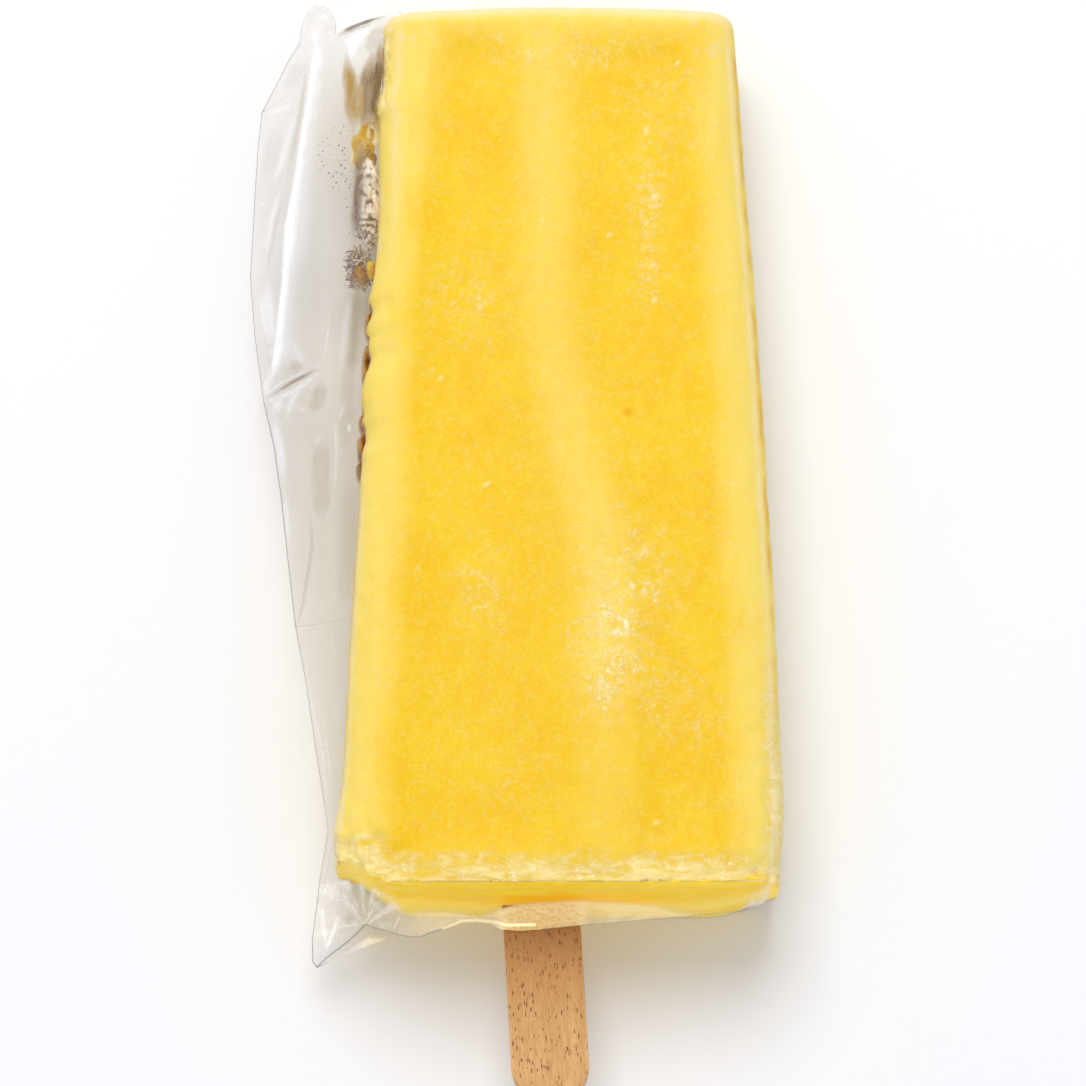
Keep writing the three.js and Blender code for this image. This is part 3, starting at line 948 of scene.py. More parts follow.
# Where the tight film over the front has wrinkled and gleams.
TIGHT_WRINKLES = [
    ([(19.2, 53.9), (21.2, 54.4)], 0.03, 0.48, 0.25),
    ([(19.5, 53), (21.6, 53.6)], 0.02, 0.42, 0.22),
    ([(18, 54.2), (18.4, 52.9)], 0.02, 0.42, 0.14),
    ([(16.7, 58.6), (18.7, 57.3)], 0.02, 0.48, 0.19),
    ([(20.9, 55.3), (21.7, 54.2)], 0.04, 0.6, 0.16),
    ([(-24.5, 54.7), (-23.6, 54.1)], 0.03, 0.48, 0.22),
    ([(-21.4, 56.7), (-20.9, 54.8)], 0.04, 0.54, 0.19),
    ([(-20, 56.2), (-19.3, 54.8)], 0.04, 0.54, 0.19),
    ([(-23.5, 57.8), (-22.1, 57.1)], 0.04, 0.6, 0.19),
    ([(-24.6, 54.3), (-24.4, 52.8), (-24.9, 51.4), (-24.6, 49.4)], 0.01, 0.36, 0.14),
    ([(-23.9, 36.3), (-23.9, 31.4)], 0.04, 0.6, 0.16),
    ([(-23.8, 29), (-24, 25.1)], 0.04, 0.6, 0.14),
]


def make_skin():
    shape = divided_box(*SKIN_CUTS)
    open_end = [f for f in shape.faces if f.calc_center_median().y < -0.9999]
    bmesh.ops.delete(shape, geom=open_end, context="FACES")
    for vertex in shape.verts:
        vertex.co = bar_point(*vertex.co)
    slack = []
    for face in shape.faces:
        middle = face.calc_center_median()
        if middle.x < 0:
            front = leaves_bar(middle.y, 1)
            back = leaves_bar(middle.y, -1)
            if middle.x < front.x and back.z < middle.z < front.z:
                slack.append(face)
    bmesh.ops.delete(shape, geom=slack, context="FACES")
    shape.normal_update()
    wrinkles = []
    for vertex in shape.verts:
        point = vertex.co
        wrinkle = soft_stroke(point.x, point.y, TIGHT_WRINKLES) if point.z > 12 else 0
        vertex.co = point + vertex.normal * (0.2 * wrinkle - 0.03)
        vertex.co.z = max(vertex.co.z, 0.03)
        wrinkles.append(wrinkle)
    return finish("film_skin", shape, clinging_film(), {"highlight": wrinkles})


skin = make_skin()
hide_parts("film_sleeve")


# ---- The slack of the sleeve ----
# On the left the film stands off the bar in two layers, pressed into flat facets between creases.
# They are sealed beyond the tip, with a rounded ear at the outer fold, and open round the stick.

FILM_LINE = (0.2, 0.2, 0.21, 1)
FILM_DUSK = (0.17, 0.11, 0.06, 1)
FILM_JUICE_SHADE = (0.28, 0.14, 0.008, 1)
FILM_DARK_JUICE_SHADE = (0.17, 0.085, 0.006, 1)
FILM_GOLD = (0.4, 0.22, 0.02, 1)
FILM_CREAM = (0.93, 0.75, 0.42, 1)
FILM_DIRT = (0.11, 0.065, 0.04, 1)
FRONT_TINT = (0.972, 0.967, 0.957, 1)
BACK_TINT = (0.978, 0.974, 0.967, 1)
# A trace of painted shade over the back layer.
BACK_GREY = 0.04
SLACK_SHEEN = 0.07
NET_SPACING = 0.55
SOFTENING_ROUNDS = 12
# A mask that holds a distance says this far, in millimetres, where there is nothing near.
FAR = 3
EAR = [(-35.2, 61.3, 9.5), (-34.9, 62.5, 9.5), (-34.3, 63.6, 9.5), (-33.2, 64.5, 9.5), (-32, 64.4, 9.5),
       (-31, 63.5, 9.5), (-30.4, 61.9, 9.6), (-30.5, 60.4, 10)]
SEAL = [(-28.5, 61.2, 10.5), (-26.5, 61.8, 11), (-25.5, 61.9, 11.5), (-23.8, 61.9, 12.5), (-22.4, 61.6, 14)]
CORNER_WRAP = [(-21.6, 61.3, 16), (-21.3, 60, 18.3)]
FRONT_MOUTH = [
    (-30.5, -66.8, 8), (-28.8, -65.8, 9.5), (-27.2, -64.9, 11.3), (-25.2, -63.3, 13), (-24, -63.7, 13),
    (-22.5, -64.1, 13), (-20.9, -64.5, 12.5), (-19.4, -64.7, 12), (-18.1, -64.7, 12),
    (-17.3, -64.4, 12.5), (-15.4, -63.9, 13), (-13.8, -63.5, 13.8), (-12.3, -63.2, 14.5),
    (-10.4, -63.2, 14.5), (-9, -63.4, 14.5), (-7.7, -64.1, 14.3), (-5.2, -64.2, 13.9), (-2.3, -64, 13.9),
    (-0.1, -63.8, 13.9), (2.5, -63.5, 13.8), (6.4, -63, 13), (10.3, -62.6, 12.5), (16.7, -62, 12),
    (23.2, -61.3, 12), (25.8, -60.6, 12), (27.4, -59.7, 12),
]
BACK_MOUTH = [
    (-29, -66, 5), (-25.9, -64.8, 5), (-23.5, -64.1, 5.5), (-21.9, -63.7, 6.5), (-18.3, -63.9, 8.5),
    (-12.4, -61.6, 9), (-7.9, -62.4, 9.5), (-0.1, -62.7, 9.5), (10.3, -61.7, 9), (23.3, -60.4, 9),
    (28, -59.2, 10),
]
# Each crease of the front layer as the points that it runs through.
TIP_RIDGE = [
    (-33.3, 58.5, 10.9), (-33.8, 56, 11.4), (-34.3, 53.7, 11.7), (-34.7, 50.1, 12.2), (-35.3, 46.6, 12),
    (-35.6, 44.1, 11.8), (-36, 41.7, 11.5), (-36.5, 39.2, 11.1), (-37.2, 36.3, 10.5), (-38.3, 34.1, 9.5),
    (-38.9, 31.1, 8.9), (-39.4, 27.7, 8.4), (-39.7, 25.3, 8), (-39.4, 21.6, 8.2), (-39.1, 19.3, 8.4),
    (-38.5, 16.9, 8.8), (-38.4, 15.3, 9),
]
FLASH_LEFT = [
    (-33.3, 58.5, 10.9), (-34, 51.4, 12.5), (-34.8, 46, 12.4), (-35.8, 38.9, 11.8), (-37, 32.5, 10.9),
    (-37.3, 25, 10.7), (-37.8, 19.8, 10.1), (-38.4, 15.3, 9), (-38.9, 11.2, 8), (-39.7, 8.9, 7),
]
FLASH_RIGHT = [
    (-33.3, 58.5, 10.9), (-32.6, 56.9, 12.4), (-33.3, 51.3, 12.9), (-33.7, 47.5, 13.1), (-34.1, 44, 13),
    (-34.6, 39.5, 12.8), (-35, 35.6, 12.6), (-35.3, 32, 12.4), (-36.1, 25.8, 11.7), (-36.6, 21.7, 11.2),
    (-37, 17.5, 10.7), (-36.9, 15.5, 10.6), (-37.8, 13, 9.5), (-38.5, 11.5, 8.4), (-39.7, 8.9, 7),
]
TIP_CORNER = [
    (-40.5, 49.9, 7.2), (-38.8, 50.6, 8.1), (-37.3, 51.5, 9.3), (-35.7, 52.3, 10.5), (-34.3, 53.7, 11.7),
]
TIP_FLASH = [(-40.5, 49.9, 7.2), (-37.7, 49.4, 9.3), (-35.3, 49.4, 11.6)]
STAR_MIDDLE = (-31.8, 10.9, 15.3)
STAR_END = (-39.7, 8.9, 7)
STAR_RAYS = [
    [STAR_MIDDLE, (-31.1, 13.9, 15.6), (-30.8, 16.4, 15.7), (-30.6, 19.2, 15.7), (-30.3, 21.3, 15.6)],
    [STAR_MIDDLE, (-33.7, 11.9, 13.2), (-35, 14.8, 11.8), (-36.4, 17.5, 10.9)],
    [STAR_MIDDLE, (-34.1, 10.8, 12.5), (-35.9, 10.4, 10.8), (-37.4, 10, 9.3), STAR_END],
    [(-33.7, 11.9, 13.2), (-35.9, 11.4, 11.3), (-38, 10.5, 9.1), STAR_END],
    [STAR_MIDDLE, (-32.4, 8, 14.3), (-33.9, 6.3, 12.7), (-35.6, 7.6, 11.3), STAR_END],
]
FOLD_PINCH = (-35, -22.5, 9)
SOFT_FOLDS = [
    [(-31.6, 54, 13), (-32, 46.7, 13.4), (-32.5, 38.1, 13.5), (-32.1, 29.5, 14)],
    [(-28.5, 20.1, 17.3), (-28.7, 13.8, 17.4), (-28.9, 6.1, 17.6), (-28.6, -2.3, 18.3)],
    [STAR_MIDDLE, (-29.8, 2.2, 17.1), (-29.5, -7, 17.6), (-29.2, -15.7, 17.9)],
    [(-32.4, 8, 14.3), (-32.7, 3.1, 13.9), (-32.2, -5.3, 14.5), (-32.6, -14.6, 13.6)],
    [(-34.5, -0.4, 11.8), (-34, -8.7, 12), (-33.5, -18.2, 11.9)],
]
FOLD_FLASH = [
    STAR_END, (-38.2, 6.3, 8.5), (-37.2, 4.4, 9.5), (-36.6, -0.3, 9.8), (-36.3, -4.8, 9.8),
    (-36, -9.4, 9.6), (-35.6, -13.8, 9.6), FOLD_PINCH,
]
CROSS_CREASE = [FOLD_PINCH, (-32.6, -23.3, 13.1), (-30.1, -23.8, 17.1), (-28.1, -24.1, 19.8)]
CROSS_SHADE = [FOLD_PINCH, (-34, -23.9, 10.4), (-31.5, -25.3, 14.2), (-28.8, -26.7, 18.6)]
WAIST_RIDGE = [
    FOLD_PINCH, (-33.9, -27.3, 10.3), (-33.1, -31.7, 10.8), (-32.2, -36.2, 11.8), (-31.2, -40, 13.2),
    (-30.6, -43.6, 14.2), (-30.2, -47.8, 14.2), (-29.9, -49.9, 15.1), (-29.4, -53.1, 17.5),
    (-29.1, -55, 18.4), (-28.6, -58.6, 18.4), (-28.1, -60.5, 17.5),
]
WAIST_STEP = [(-30.9, -36.4, 14.7), (-30.6, -38.9, 15), (-30.2, -41.9, 15.7), (-29.8, -44.4, 16.8),
              (-29.5, -46.1, 17.6), (-29.9, -49.9, 15.1)]
CORNER_NODE = (-28.1, -60.5, 17.5)
MOUTH_NODE = (-25.2, -63.3, 13)
MOUTH_TIP = OUTER_FOLD[-1]
HEM_PEAK = (-22.7, -60.9, 21)
HEM_DIP = (-21.8, -63.3, 14.5)
HEM_START = (-17.4, -61.7, 20)
HEM_FOOT = (-20.9, -64.5, 12.5)
MOUTH_CREASES = [
    [(-31.8, -59.5, 8), (-30.3, -60.5, 13), (-29.1, -60.6, 15.5), CORNER_NODE],
    [CORNER_NODE, (-29.9, -63.3, 10.5), (-31.4, -66.8, 7.8), MOUTH_TIP],
    [CORNER_NODE, (-29.1, -63.2, 12.5), (-30.6, -66.2, 8.6), MOUTH_TIP],
    [CORNER_NODE, (-26.8, -62.4, 15.5), MOUTH_NODE],
    [MOUTH_NODE, (-23.9, -62, 17), HEM_PEAK],
    [HEM_PEAK, (-22, -61.6, 19.5), HEM_DIP, HEM_FOOT],
    [HEM_DIP, (-19.7, -62.4, 16.5), HEM_START],
    [HEM_START, (-13.6, -61.9, 20), (-9.1, -61.8, 19.5), (-4.6, -62, 19), (-0.1, -61.9, 19),
     (5, -61.7, 19), (11.4, -61.6, 18.5), (17.9, -61.4, 18), (23.2, -60.8, 17), (27.4, -59.7, 12)],
]


def plan_net(outline, creases):
    """A sheet of facets between creases, divided finely. Its points are (x, y, z), met in plan."""
    points = []
    numbers = {}

    def number(point):
        key = (round(point[0], 1), round(point[1], 1))
        if key not in numbers:
            numbers[key] = len(points)
            points.append(point)
        return numbers[key]

    rim = [number(p) for p in outline]
    pairs = [(a, b) for a, b in zip(rim, rim[1:] + rim[:1])]
    for crease in creases:
        row = [number(p) for p in crease]
        pairs += [(a, b) for a, b in zip(row, row[1:])]
    pairs = [(a, b) for a, b in pairs if a != b]
    flat = [Vector(p[:2]) for p in points]
    places, edges, faces, origins, edge_origins, _ = delaunay_2d_cdt(flat, pairs, [rim], 1, 0.0001)
    sheet = bmesh.new()
    for place, origin in zip(places, origins):
        if not origin:
            print("creases cross at", place)
        sheet.verts.new((*place, points[origin[0]][2] if origin else 10))
    sheet.verts.ensure_lookup_table()
    for face in faces:
        sheet.faces.new([sheet.verts[i] for i in face])
    for (a, b), origin in zip(edges, edge_origins):
        edge = sheet.edges.get((sheet.verts[a], sheet.verts[b]))
        if edge and origin:
            edge.seam = True
    for _ in range(5):
        long_edges = [e for e in sheet.edges if e.calc_length() > NET_SPACING]
        bmesh.ops.subdivide_edges(sheet, edges=long_edges, cuts=1)
        bmesh.ops.triangulate(sheet, faces=[f for f in sheet.faces if len(f.verts) > 3])
    return sheet


WAIST_LIGHT = [(-33.6, -27), (-32.5, -34), (-31, -41), (-30.3, -47)]
STEP_LIGHT = [(-30.9, -36.4), (-30.2, -41.9), (-29.6, -46)]
STAR_LIGHT = [(-39.3, 9), (-35.8, 9.1), (-34.1, 9.8), (-32.2, 10.5)]
HEM_LIGHT = [
    (-17.7, -64.5), (-14.7, -63.7), (-12.8, -63.1), (-10.8, -63), (-9, -63.2), (-7.1, -63.7), (-3.3, -63.6),
]
# Lines painted dark, painted shade along folds, creases and the seal, with half their width in millimetres.
DARK_LINES = [
    (OUTER_FOLD[:9], 0.0),
    (OUTER_FOLD[8:], 0.05),
    ([OUTER_FOLD[0]] + EAR, 0.0),
    (SEAL + CORNER_WRAP, 0.03),
    ([(-30.1, 59.6), (-28.1, 60), (-25.9, 60.7)], 0.04),
    (TIP_RIDGE, -0.1),
    (TIP_CORNER, -0.06),
    (CROSS_CREASE, -0.05),
    ([(-29.3, -53.1), (-31, -58.3), (-31.7, -59.6)], -0.03),
    ([(-29.1, -53.1), (-28.7, -57.7), (-28.2, -60.3)], -0.06),
    ([MOUTH_TIP] + FRONT_MOUTH[:4], 0.1),
    (FRONT_MOUTH[3:11], 0.02),
    (FRONT_MOUTH[17:], -0.04),
]
# Creases that catch the light, the same way.
BRIGHT_LINES = [
    ([(-31.8, 11.5), (-31.1, 13.9), (-30.8, 16.4), (-30.4, 20.5)], -0.05),
    ([(-39.3, 9.9), (-37.4, 10.8), (-34.2, 11.4), (-31.8, 11.5)], 0.0),
    (STAR_LIGHT, 0.02),
    (WAIST_LIGHT, -0.06),
    (STEP_LIGHT, -0.08),
    ([(-32, -59.3), (-30.2, -60.3), (-28.2, -60.7)], 0.0),
    ([(-23.3, -60.6), (-23.9, -61.6), (-25.3, -63.2)], 0.02),
    ([(-28.1, -60.2), (-26.9, -61.4), (-25.5, -63.2)], 0.0),
    ([(-27.6, -61), (-26.6, -62.4), (-25.5, -63.3)], -0.06),
    ([(-22.3, -61.2), (-22, -62.2), (-21.9, -63.6)], -0.05),
    ([(-20.8, -62.8), (-21.6, -63.9)], 0.04),
    (HEM_LIGHT, 0.04),
]
# The back layer's folds, painted dark the same way.
BACK_LINES = [
    (OUTER_FOLD, 0.0),
    ([(-31.7, -67.7), (-29.3, -66.4), (-25.9, -65), (-23.5, -64.2), (-21.9, -63.8)], 0.04),
]
GLEAM = [(-29.3, 58.6), (-25.6, 60.3), (-25.9, 58.8), (-27.2, 56.6), (-28.1, 54.5)]
BACK_GLEAM = [(-25.2, -62.9), (-22, -63.6), (-31.1, -67.4)]
# Soft white and soft grey strokes of light on the facets, painted highlights and painted shade,
# then the stains of juice, darkened with painted shade along the bar.
WHITE_STROKES = [
    ([(-33.2, 61), (-33.2, 58.7)], 0.1, 0.83, 0.48),
    ([(-32.8, 62.4), (-32.1, 63.2), (-31.2, 62.3)], 0.03, 0.41, 0.32),
    ([(-40.1, 49.2), (-37.8, 49.7), (-36, 49.8)], 0.05, 0.62, 0.42),
    ([(-35.6, 48.8), (-36.5, 45.7), (-37.7, 41.6), (-38.9, 38.3)], 0.05, 0.93, 0.42),
    ([(-37.6, 38.4), (-38.6, 35.4), (-39.2, 31.3), (-39.5, 27.8)], 0.06, 0.83, 0.42),
    ([(-40.5, 48.9), (-40.8, 44.2), (-41, 40.4)], 0.06, 0.72, 0.26),
    ([(-39.4, 26), (-39.3, 22.7), (-38.8, 18.7), (-38.3, 15.8)], 0.13, 1.14, 0.48),
    ([(-40.7, 24.8), (-39.8, 20.6), (-38.8, 15.5)], 0.03, 0.62, 0.37),
    ([(-39.2, 15.6), (-37.5, 15.5)], 0.06, 0.83, 0.37),
    ([(-38, 14.9), (-39.3, 11.3), (-39.6, 9.2)], 0.06, 0.93, 0.42),
    ([(-40.7, 37.1), (-39.6, 36.1)], 0.05, 0.83, 0.26),
    ([(-40.8, 31), (-39.5, 31.1)], 0.05, 0.83, 0.21),
    ([(-41.4, 27.1), (-39.8, 27.3)], 0.03, 0.83, 0.21),
    ([(-34, 11.8), (-35, 14.5), (-36.1, 16.3)], 0.05, 0.83, 0.32),
    (STAR_LIGHT, 0.06, 0.72, 0.42),
    ([(-34.1, 9.8), (-35.2, 8.7), (-36, 7.3), (-36.4, 5.6)], 0.08, 0.93, 0.37),
    ([(-38.8, 7.9), (-36.8, 7.9)], 0.16, 1.24, 0.42),
    ([(-38.6, 7.1), (-37.4, 2.3), (-36.7, -3.6)], 0.14, 0.93, 0.53),
    ([(-36.7, -3.6), (-36.3, -8.1), (-36, -11.6)], 0.06, 0.62, 0.48),
    ([(-32.7, 0.9), (-31.4, 1.9)], 0.03, 0.52, 0.32),
    ([(-35.4, 7.4), (-34.2, 6.3), (-34.4, 5.7)], 0.03, 0.41, 0.26),
    ([(-27.7, 20.8), (-28.3, 17.5), (-28.7, 13.4), (-29.1, 10.3)], 0.06, 0.93, 0.19),
    ([(-29.8, 3.9), (-29.5, 0), (-29.6, -6.9)], 0.01, 0.37, 0.26),
    ([(-29.1, 3.4), (-28.5, 5.8)], 0.05, 0.47, 0.32),
    ([(-27.7, 2.6), (-27.8, 1.5)], 0.04, 0.37, 0.53),
    ([(-27.9, -24.2), (-28.1, -24.2)], 0.04, 0.41, 0.53),
    (WAIST_LIGHT, 0.03, 0.47, 0.32),
    (STEP_LIGHT, 0.02, 0.37, 0.26),
    ([(-31, -60.1), (-30.5, -65.3)], 0.1, 0.63, 0.81),
    ([(-28.3, -61.6), (-30.8, -66.6)], 0.1, 0.63, 0.85),
    ([(-26.9, -64.6), (-30.3, -67.1)], 0.04, 0.45, 0.77),
    ([(-28.3, -58.9), (-26.9, -59.3)], 0.12, 0.6, 0.6),
    ([(23.5, -61), (25.5, -60.6), (27.3, -59.7)], 0.1, 0.6, 0.5),
    ([(-27.9, -60.3), (-27.2, -60.9)], 0.2, 0.6, 0.5),
]
GREY_STROKES = [
    ([(-34.3, 57.5), (-34.5, 52.8), (-35, 48.2), (-35.5, 45.7), (-36.2, 42), (-36.9, 38.5)], 0.1, 0.5, 0.6),
    ([(-37.4, 36.6), (-38.3, 33.2), (-39, 30.1), (-39.5, 26.6)], 0.1, 0.6, 0.5),
    ([(-35.1, 56.5), (-35.8, 54.4), (-37.4, 52.3)], 0.7, 1.7, 0.3),
    ([(-38.5, 47.6), (-39.5, 39.3)], 0.8, 1.6, 0.2),
    ([(-39.5, 9.5), (-36.9, 10.1), (-34.8, 10.8), (-33.3, 11.1), (-31.6, 11.4)], 0.12, 0.45, 1.3),
    ([(-35.9, 13.2), (-34.2, 11.8)], 0.5, 1.2, 0.7),
    ([(-31.6, 9.6), (-32.1, 7.1), (-32.6, 5.2)], 0.6, 1.6, 0.9),
    ([(-33.1, -5.8), (-32.7, -12.7), (-33.9, -20), (-34.8, -22.9)], 0.05, 0.5, 0.8),
    ([(-31.8, 2.9), (-31.3, -11)], 0.8, 1.8, 0.8),
    ([(-34.6, 60.2), (-34, 62.9), (-32.8, 63.8), (-31.2, 62.7), (-30.5, 60.6)], 0.2, 0.6, 0.35),
    ([(-32.3, 60.7), (-30.9, 61.4)], 0.2, 0.6, 0.3),
    ([(-29.1, -60.6), (-31.1, -65.8)], 0.1, 0.5, 1.1),
    ([(-31.7, -60.2), (-32.1, -66.2)], 0.1, 0.5, 0.7),
    ([(-25.2, -63.6), (-28.6, -65.7), (-31.1, -67.3)], 0.1, 0.4, 1.3),
    ([(-28.2, -60.5), (-28.2, -60.9)], 0.1, 0.4, 1.3),
    ([(-24, 58.5), (-24.2, 53), (-24.7, 49.5), (-25.4, 45)], 0.2, 1.2, 1.5),
    ([(-26.5, 44), (-26.8, 38), (-27.1, 33), (-27.5, 25.5)], 0.3, 1.7, 1.35),
    ([(-30.1, 59.9), (-28.7, 60.6), (-27.1, 61.3), (-25.5, 61.8), (-23, 61.8)], 0.3, 0.85, 1.7),
    ([(-26.6, 25.3), (-27.2, 15.3), (-27.9, 6.6)], 0.3, 1.7, 1.1),
    ([(-28, 13.7), (-28.1, -3.2)], 0.4, 1.7, 0.8),
    ([(-27.9, -1.9), (-27.7, -13.5), (-28.3, -25.2)], 0.5, 2.4, 0.6),
]
JUICE_SHADE_STROKES = [
    ([(-23.8, 56.5), (-23.9, 53.5), (-24, 51.1), (-24.4, 48.2), (-24.7, 46), (-24.9, 44)], 0.6, 1.6, 1),
    ([(-24.8, 56.4), (-25.3, 51.8), (-25.5, 49), (-25.8, 46.5), (-26.2, 43.5)], 1.0, 2.3, 0.85),
    ([(-24, 60.4), (-24.7, 57.5), (-25.1, 54)], 0.9, 2.0, 0.36),
    ([(-28.1, -62.4), (-26.4, -63.4)], 0.3, 0.9, 0.25),
]
GOLD_STROKES = [
    ([(-28.9, 56), (-28.4, 52.3), (-28, 50.2), (-27.9, 47.4), (-27.8, 43.5)], 0.5, 1.4, 1),
    ([(-27.4, 52), (-27.2, 44.5)], 0.4, 1.2, 0.85),
    ([(-10, -62.7), (-2.5, -62.9), (5.5, -62.7)], 1.4, 2.4, 0.27),
]
# Where dirt has gathered in the film: the middle, and the reach across and along.
SPECK_PATCHES = [(-29.4, 43.6, 1.9, 2.6), (-30.6, 41, 2.6, 4.6), (-27.6, 34, 1.4, 7), (-29.6, 38, 1.6, 2.6)]


# Where the base end's lower edge shows through the front layer: the place across and along.
ICE_END = [
    (-29, -58.2), (-27.3, -58.9), (-26, -59.3), (-23.7, -60.1), (-23, -60.4), (-21.5, -61.4),
    (-20, -62.2), (-18, -62.3), (-13.1, -62.4), (-10.5, -62.6), (-8.2, -62.3), (-6, -61.8), (3.1, -61.4),
    (10.2, -61.5), (15.3, -61.7), (20.5, -61.7), (28, -60.2),
]


def outside(x, y, area):
    """How far a place is outside an area, or inside it where negative, in plan."""
    inside = False
    for start, end in zip(area, area[1:] + area[:1]):
        if (start[1] > y) != (end[1] > y):
            crossing = start[0] + (y - start[1]) / (end[1] - start[1]) * (end[0] - start[0])
            inside ^= x < crossing
    away = nearest_on(x, y, area + area[:1])[0]
    return -away if inside else away


def nearest_of(x, y, lines):
    """How far a place is outside the nearest of some lines, each with half its width."""
    return min(FAR, min(nearest_on(x, y, line)[0] - width for line, width in lines))


def ground_shade(x, y):
    """The painted shade of the slack film away from its strokes, a beige greyness: least by the outer fold.
    """
    across = x - fold_at(y)[0]
    tip = 0.09 * ease(across, 3.5, 7) + 0.2 * ease(x, -32.5, -28) * ease(50 - y, 0, 12)
    waist = 0.15 + 0.12 * ease(across, 1.5, 5)
    grey = lerp(waist, tip, ease(y, 3, 11))
    return grey + 0.08 * noise.noise(Vector((x / 1.6, y / 14, 2)))


def flash(x, y):
    """The whiteness of the band of light along the tip's crease: crisp on its left, soft on its right."""
    if y < 8.9 or y > 58.5:
        return 0
    left = read(y, [p[1] for p in FLASH_LEFT[::-1]], [p[0] for p in FLASH_LEFT[::-1]])
    right = read(y, [p[1] for p in FLASH_RIGHT[::-1]], [p[0] for p in FLASH_RIGHT[::-1]])
    wide = max(0.3, right - left)
    band = ease(x - left, -0.25, 0.2) * (1 - 0.55 * ease(x - left, 0.6 * wide, 1.3 * wide))
    band *= 1 - ease(x - left, wide, 3 * wide)
    return 0.72 * band * ease(y, 9, 14)


def back_marks(x, y):
    return {"line": nearest_of(x, y, BACK_LINES), "gleam": min(FAR, outside(x, y, BACK_GLEAM))}


def front_marks(x, y):
    """What the front layer's masks hold at a place."""
    highlight = max(soft_stroke(x, y, WHITE_STROKES), flash(x, y))
    rim = read(x, [place for place, _ in ICE_END], [end for _, end in ICE_END])
    hem = ease(rim - y, -0.15, 0.3)
    cream = hem * (0.3 + 0.7 * ease(x, -23.5, -16)) * ease(y, -66, -64)
    cream += hem * (1 - ease(abs(x + 2.4), 4.5, 6.5))
    off_bar = 1 - ease(x - melted(y, LEFT_MELT) + half_width(y), 0.1, 0.7) * (1 - hem)
    shade = max(ground_shade(x, y), soft_stroke(x, y, GREY_STROKES)) * off_bar * (1 - hem)
    specks = 0
    for middle_x, middle_y, reach_x, reach_y in SPECK_PATCHES:
        away = math.hypot((x - middle_x) / reach_x, (y - middle_y) / reach_y)
        specks = max(specks, 1 - ease(away, 0.5, 1.1))
    # Painted reflection: the crumpled film by the mouth gleams white.
    if y < -57:
        turn = math.atan2(y + 63.3, x + 25.3)
        crumple = 0.3 + 0.5 * noise.noise(Vector((turn * 4, 0, 4)))
        crumple += 0.25 * noise.noise(Vector((x, y, 4)))
        highlight = max(highlight, crumple * hem * (1 - ease(x, -21, -15)))
    return {
        "line": nearest_of(x, y, DARK_LINES),
        "ray": nearest_of(x, y, BRIGHT_LINES),
        "gleam": min(FAR, outside(x, y, GLEAM)),
        "highlight": highlight,
        "shade": shade,
        "juice_and_shade": soft_stroke(x, y, JUICE_SHADE_STROKES) * off_bar,
        "gold": soft_stroke(x, y, GOLD_STROKES) * off_bar,
        "specks": specks * off_bar,
        "cream": cream,
    }


def film_ripples(place):
    return {"Normal": place.bump(place.cloud(2.2, detail=3), 0.12, 0.0006)}


def front_film():
    """Clear film that gleams on its facets and darkens along its folds, with painted highlights and painted
    shade.

    line, ray and gleam hold the distance in millimetres to the nearest dark fold, bright fold and
    gleaming patch. The whiteness mask is painted highlight, shade is painted greyness, juice is a
    stain darkened with painted shade along the bar, gold and cream are stains, specks dirt.
    """
    material, start = new_material("film_front")
    place = start.place()
    line = 1 - start.mask("line").eased(0.0, 0.16)
    ray = 1 - start.mask("ray").eased(0.0, 0.17)
    gleam = 1 - start.mask("gleam").eased(-0.75, 0.35)
    shade = start.mask("shade")
    cream = start.mask("cream")
    streaks = film_streaks(place)
    blots = place.cloud(1.8, detail=5, roughness=0.65)
    fine = place.stretched((1, 0.12, 1), turn=(0, 0, 0.12)).cloud(0.5, detail=3)
    juice_and_shade = (start.mask("juice_and_shade") * (0.7 + fine * 0.6) * (0.8 + blots * 0.4)).clamped()
    gold = (start.mask("gold") * (0.35 + fine * 1.1) * (0.8 + blots * 0.4)).clamped()
    dots = 1 - place.dots(0.72, "2D").eased(0.1, 0.24)
    specks = start.mask("specks") * dots * place.cloud(0.8, detail=2).eased(0.44, 0.58)
    # Painted highlights: the white strokes, the gleaming patch and the bright creases.
    white = (start.mask("highlight") * (0.65 + streaks * 0.7)).larger(gleam * 0.85).larger(ray * 0.75)
    white += film_sheen(start, SLACK_SHEEN)

    dusk = shade.eased(0.8, 1.5).blend(FILM_SHADE, FILM_DUSK)
    colour = (white / (white + shade * 0.55 + 0.01)).clamped().blend(dusk, FILM_WHITE)
    colour = (cream * (1 - gleam)).clamped().blend(colour, FILM_CREAM)
    # Juice stains, darkened with painted shade along the bar.
    stain = juice_and_shade.eased(0.6, 0.95).blend(FILM_JUICE_SHADE, FILM_DARK_JUICE_SHADE)
    colour = (juice_and_shade * 2.5 - white).clamped().blend(colour, stain)
    colour = (gold * 2.5 - white).clamped().blend(colour, FILM_GOLD)
    # Painted shade along the folds and creases.
    colour = line.blend(colour, FILM_LINE)
    colour = specks.eased(0.1, 0.4).blend(colour, FILM_DIRT)
    # Painted light: the strong whites and the cream hem glow, so they stay bright in the bar's shade.
    glow = white * white * 0.26 + cream * 0.3 * (1 - line)
    cover = (white + shade * (0.4 + streaks * 0.25)).larger(juice_and_shade * 0.95).larger(gold * 0.9)
    cover = cover.larger(line * 0.62).larger(cream * (0.25 + blots * 0.5)).larger(specks * 0.9)
    return film_surface(material, FRONT_TINT, colour, glow, cover, film_ripples(place))


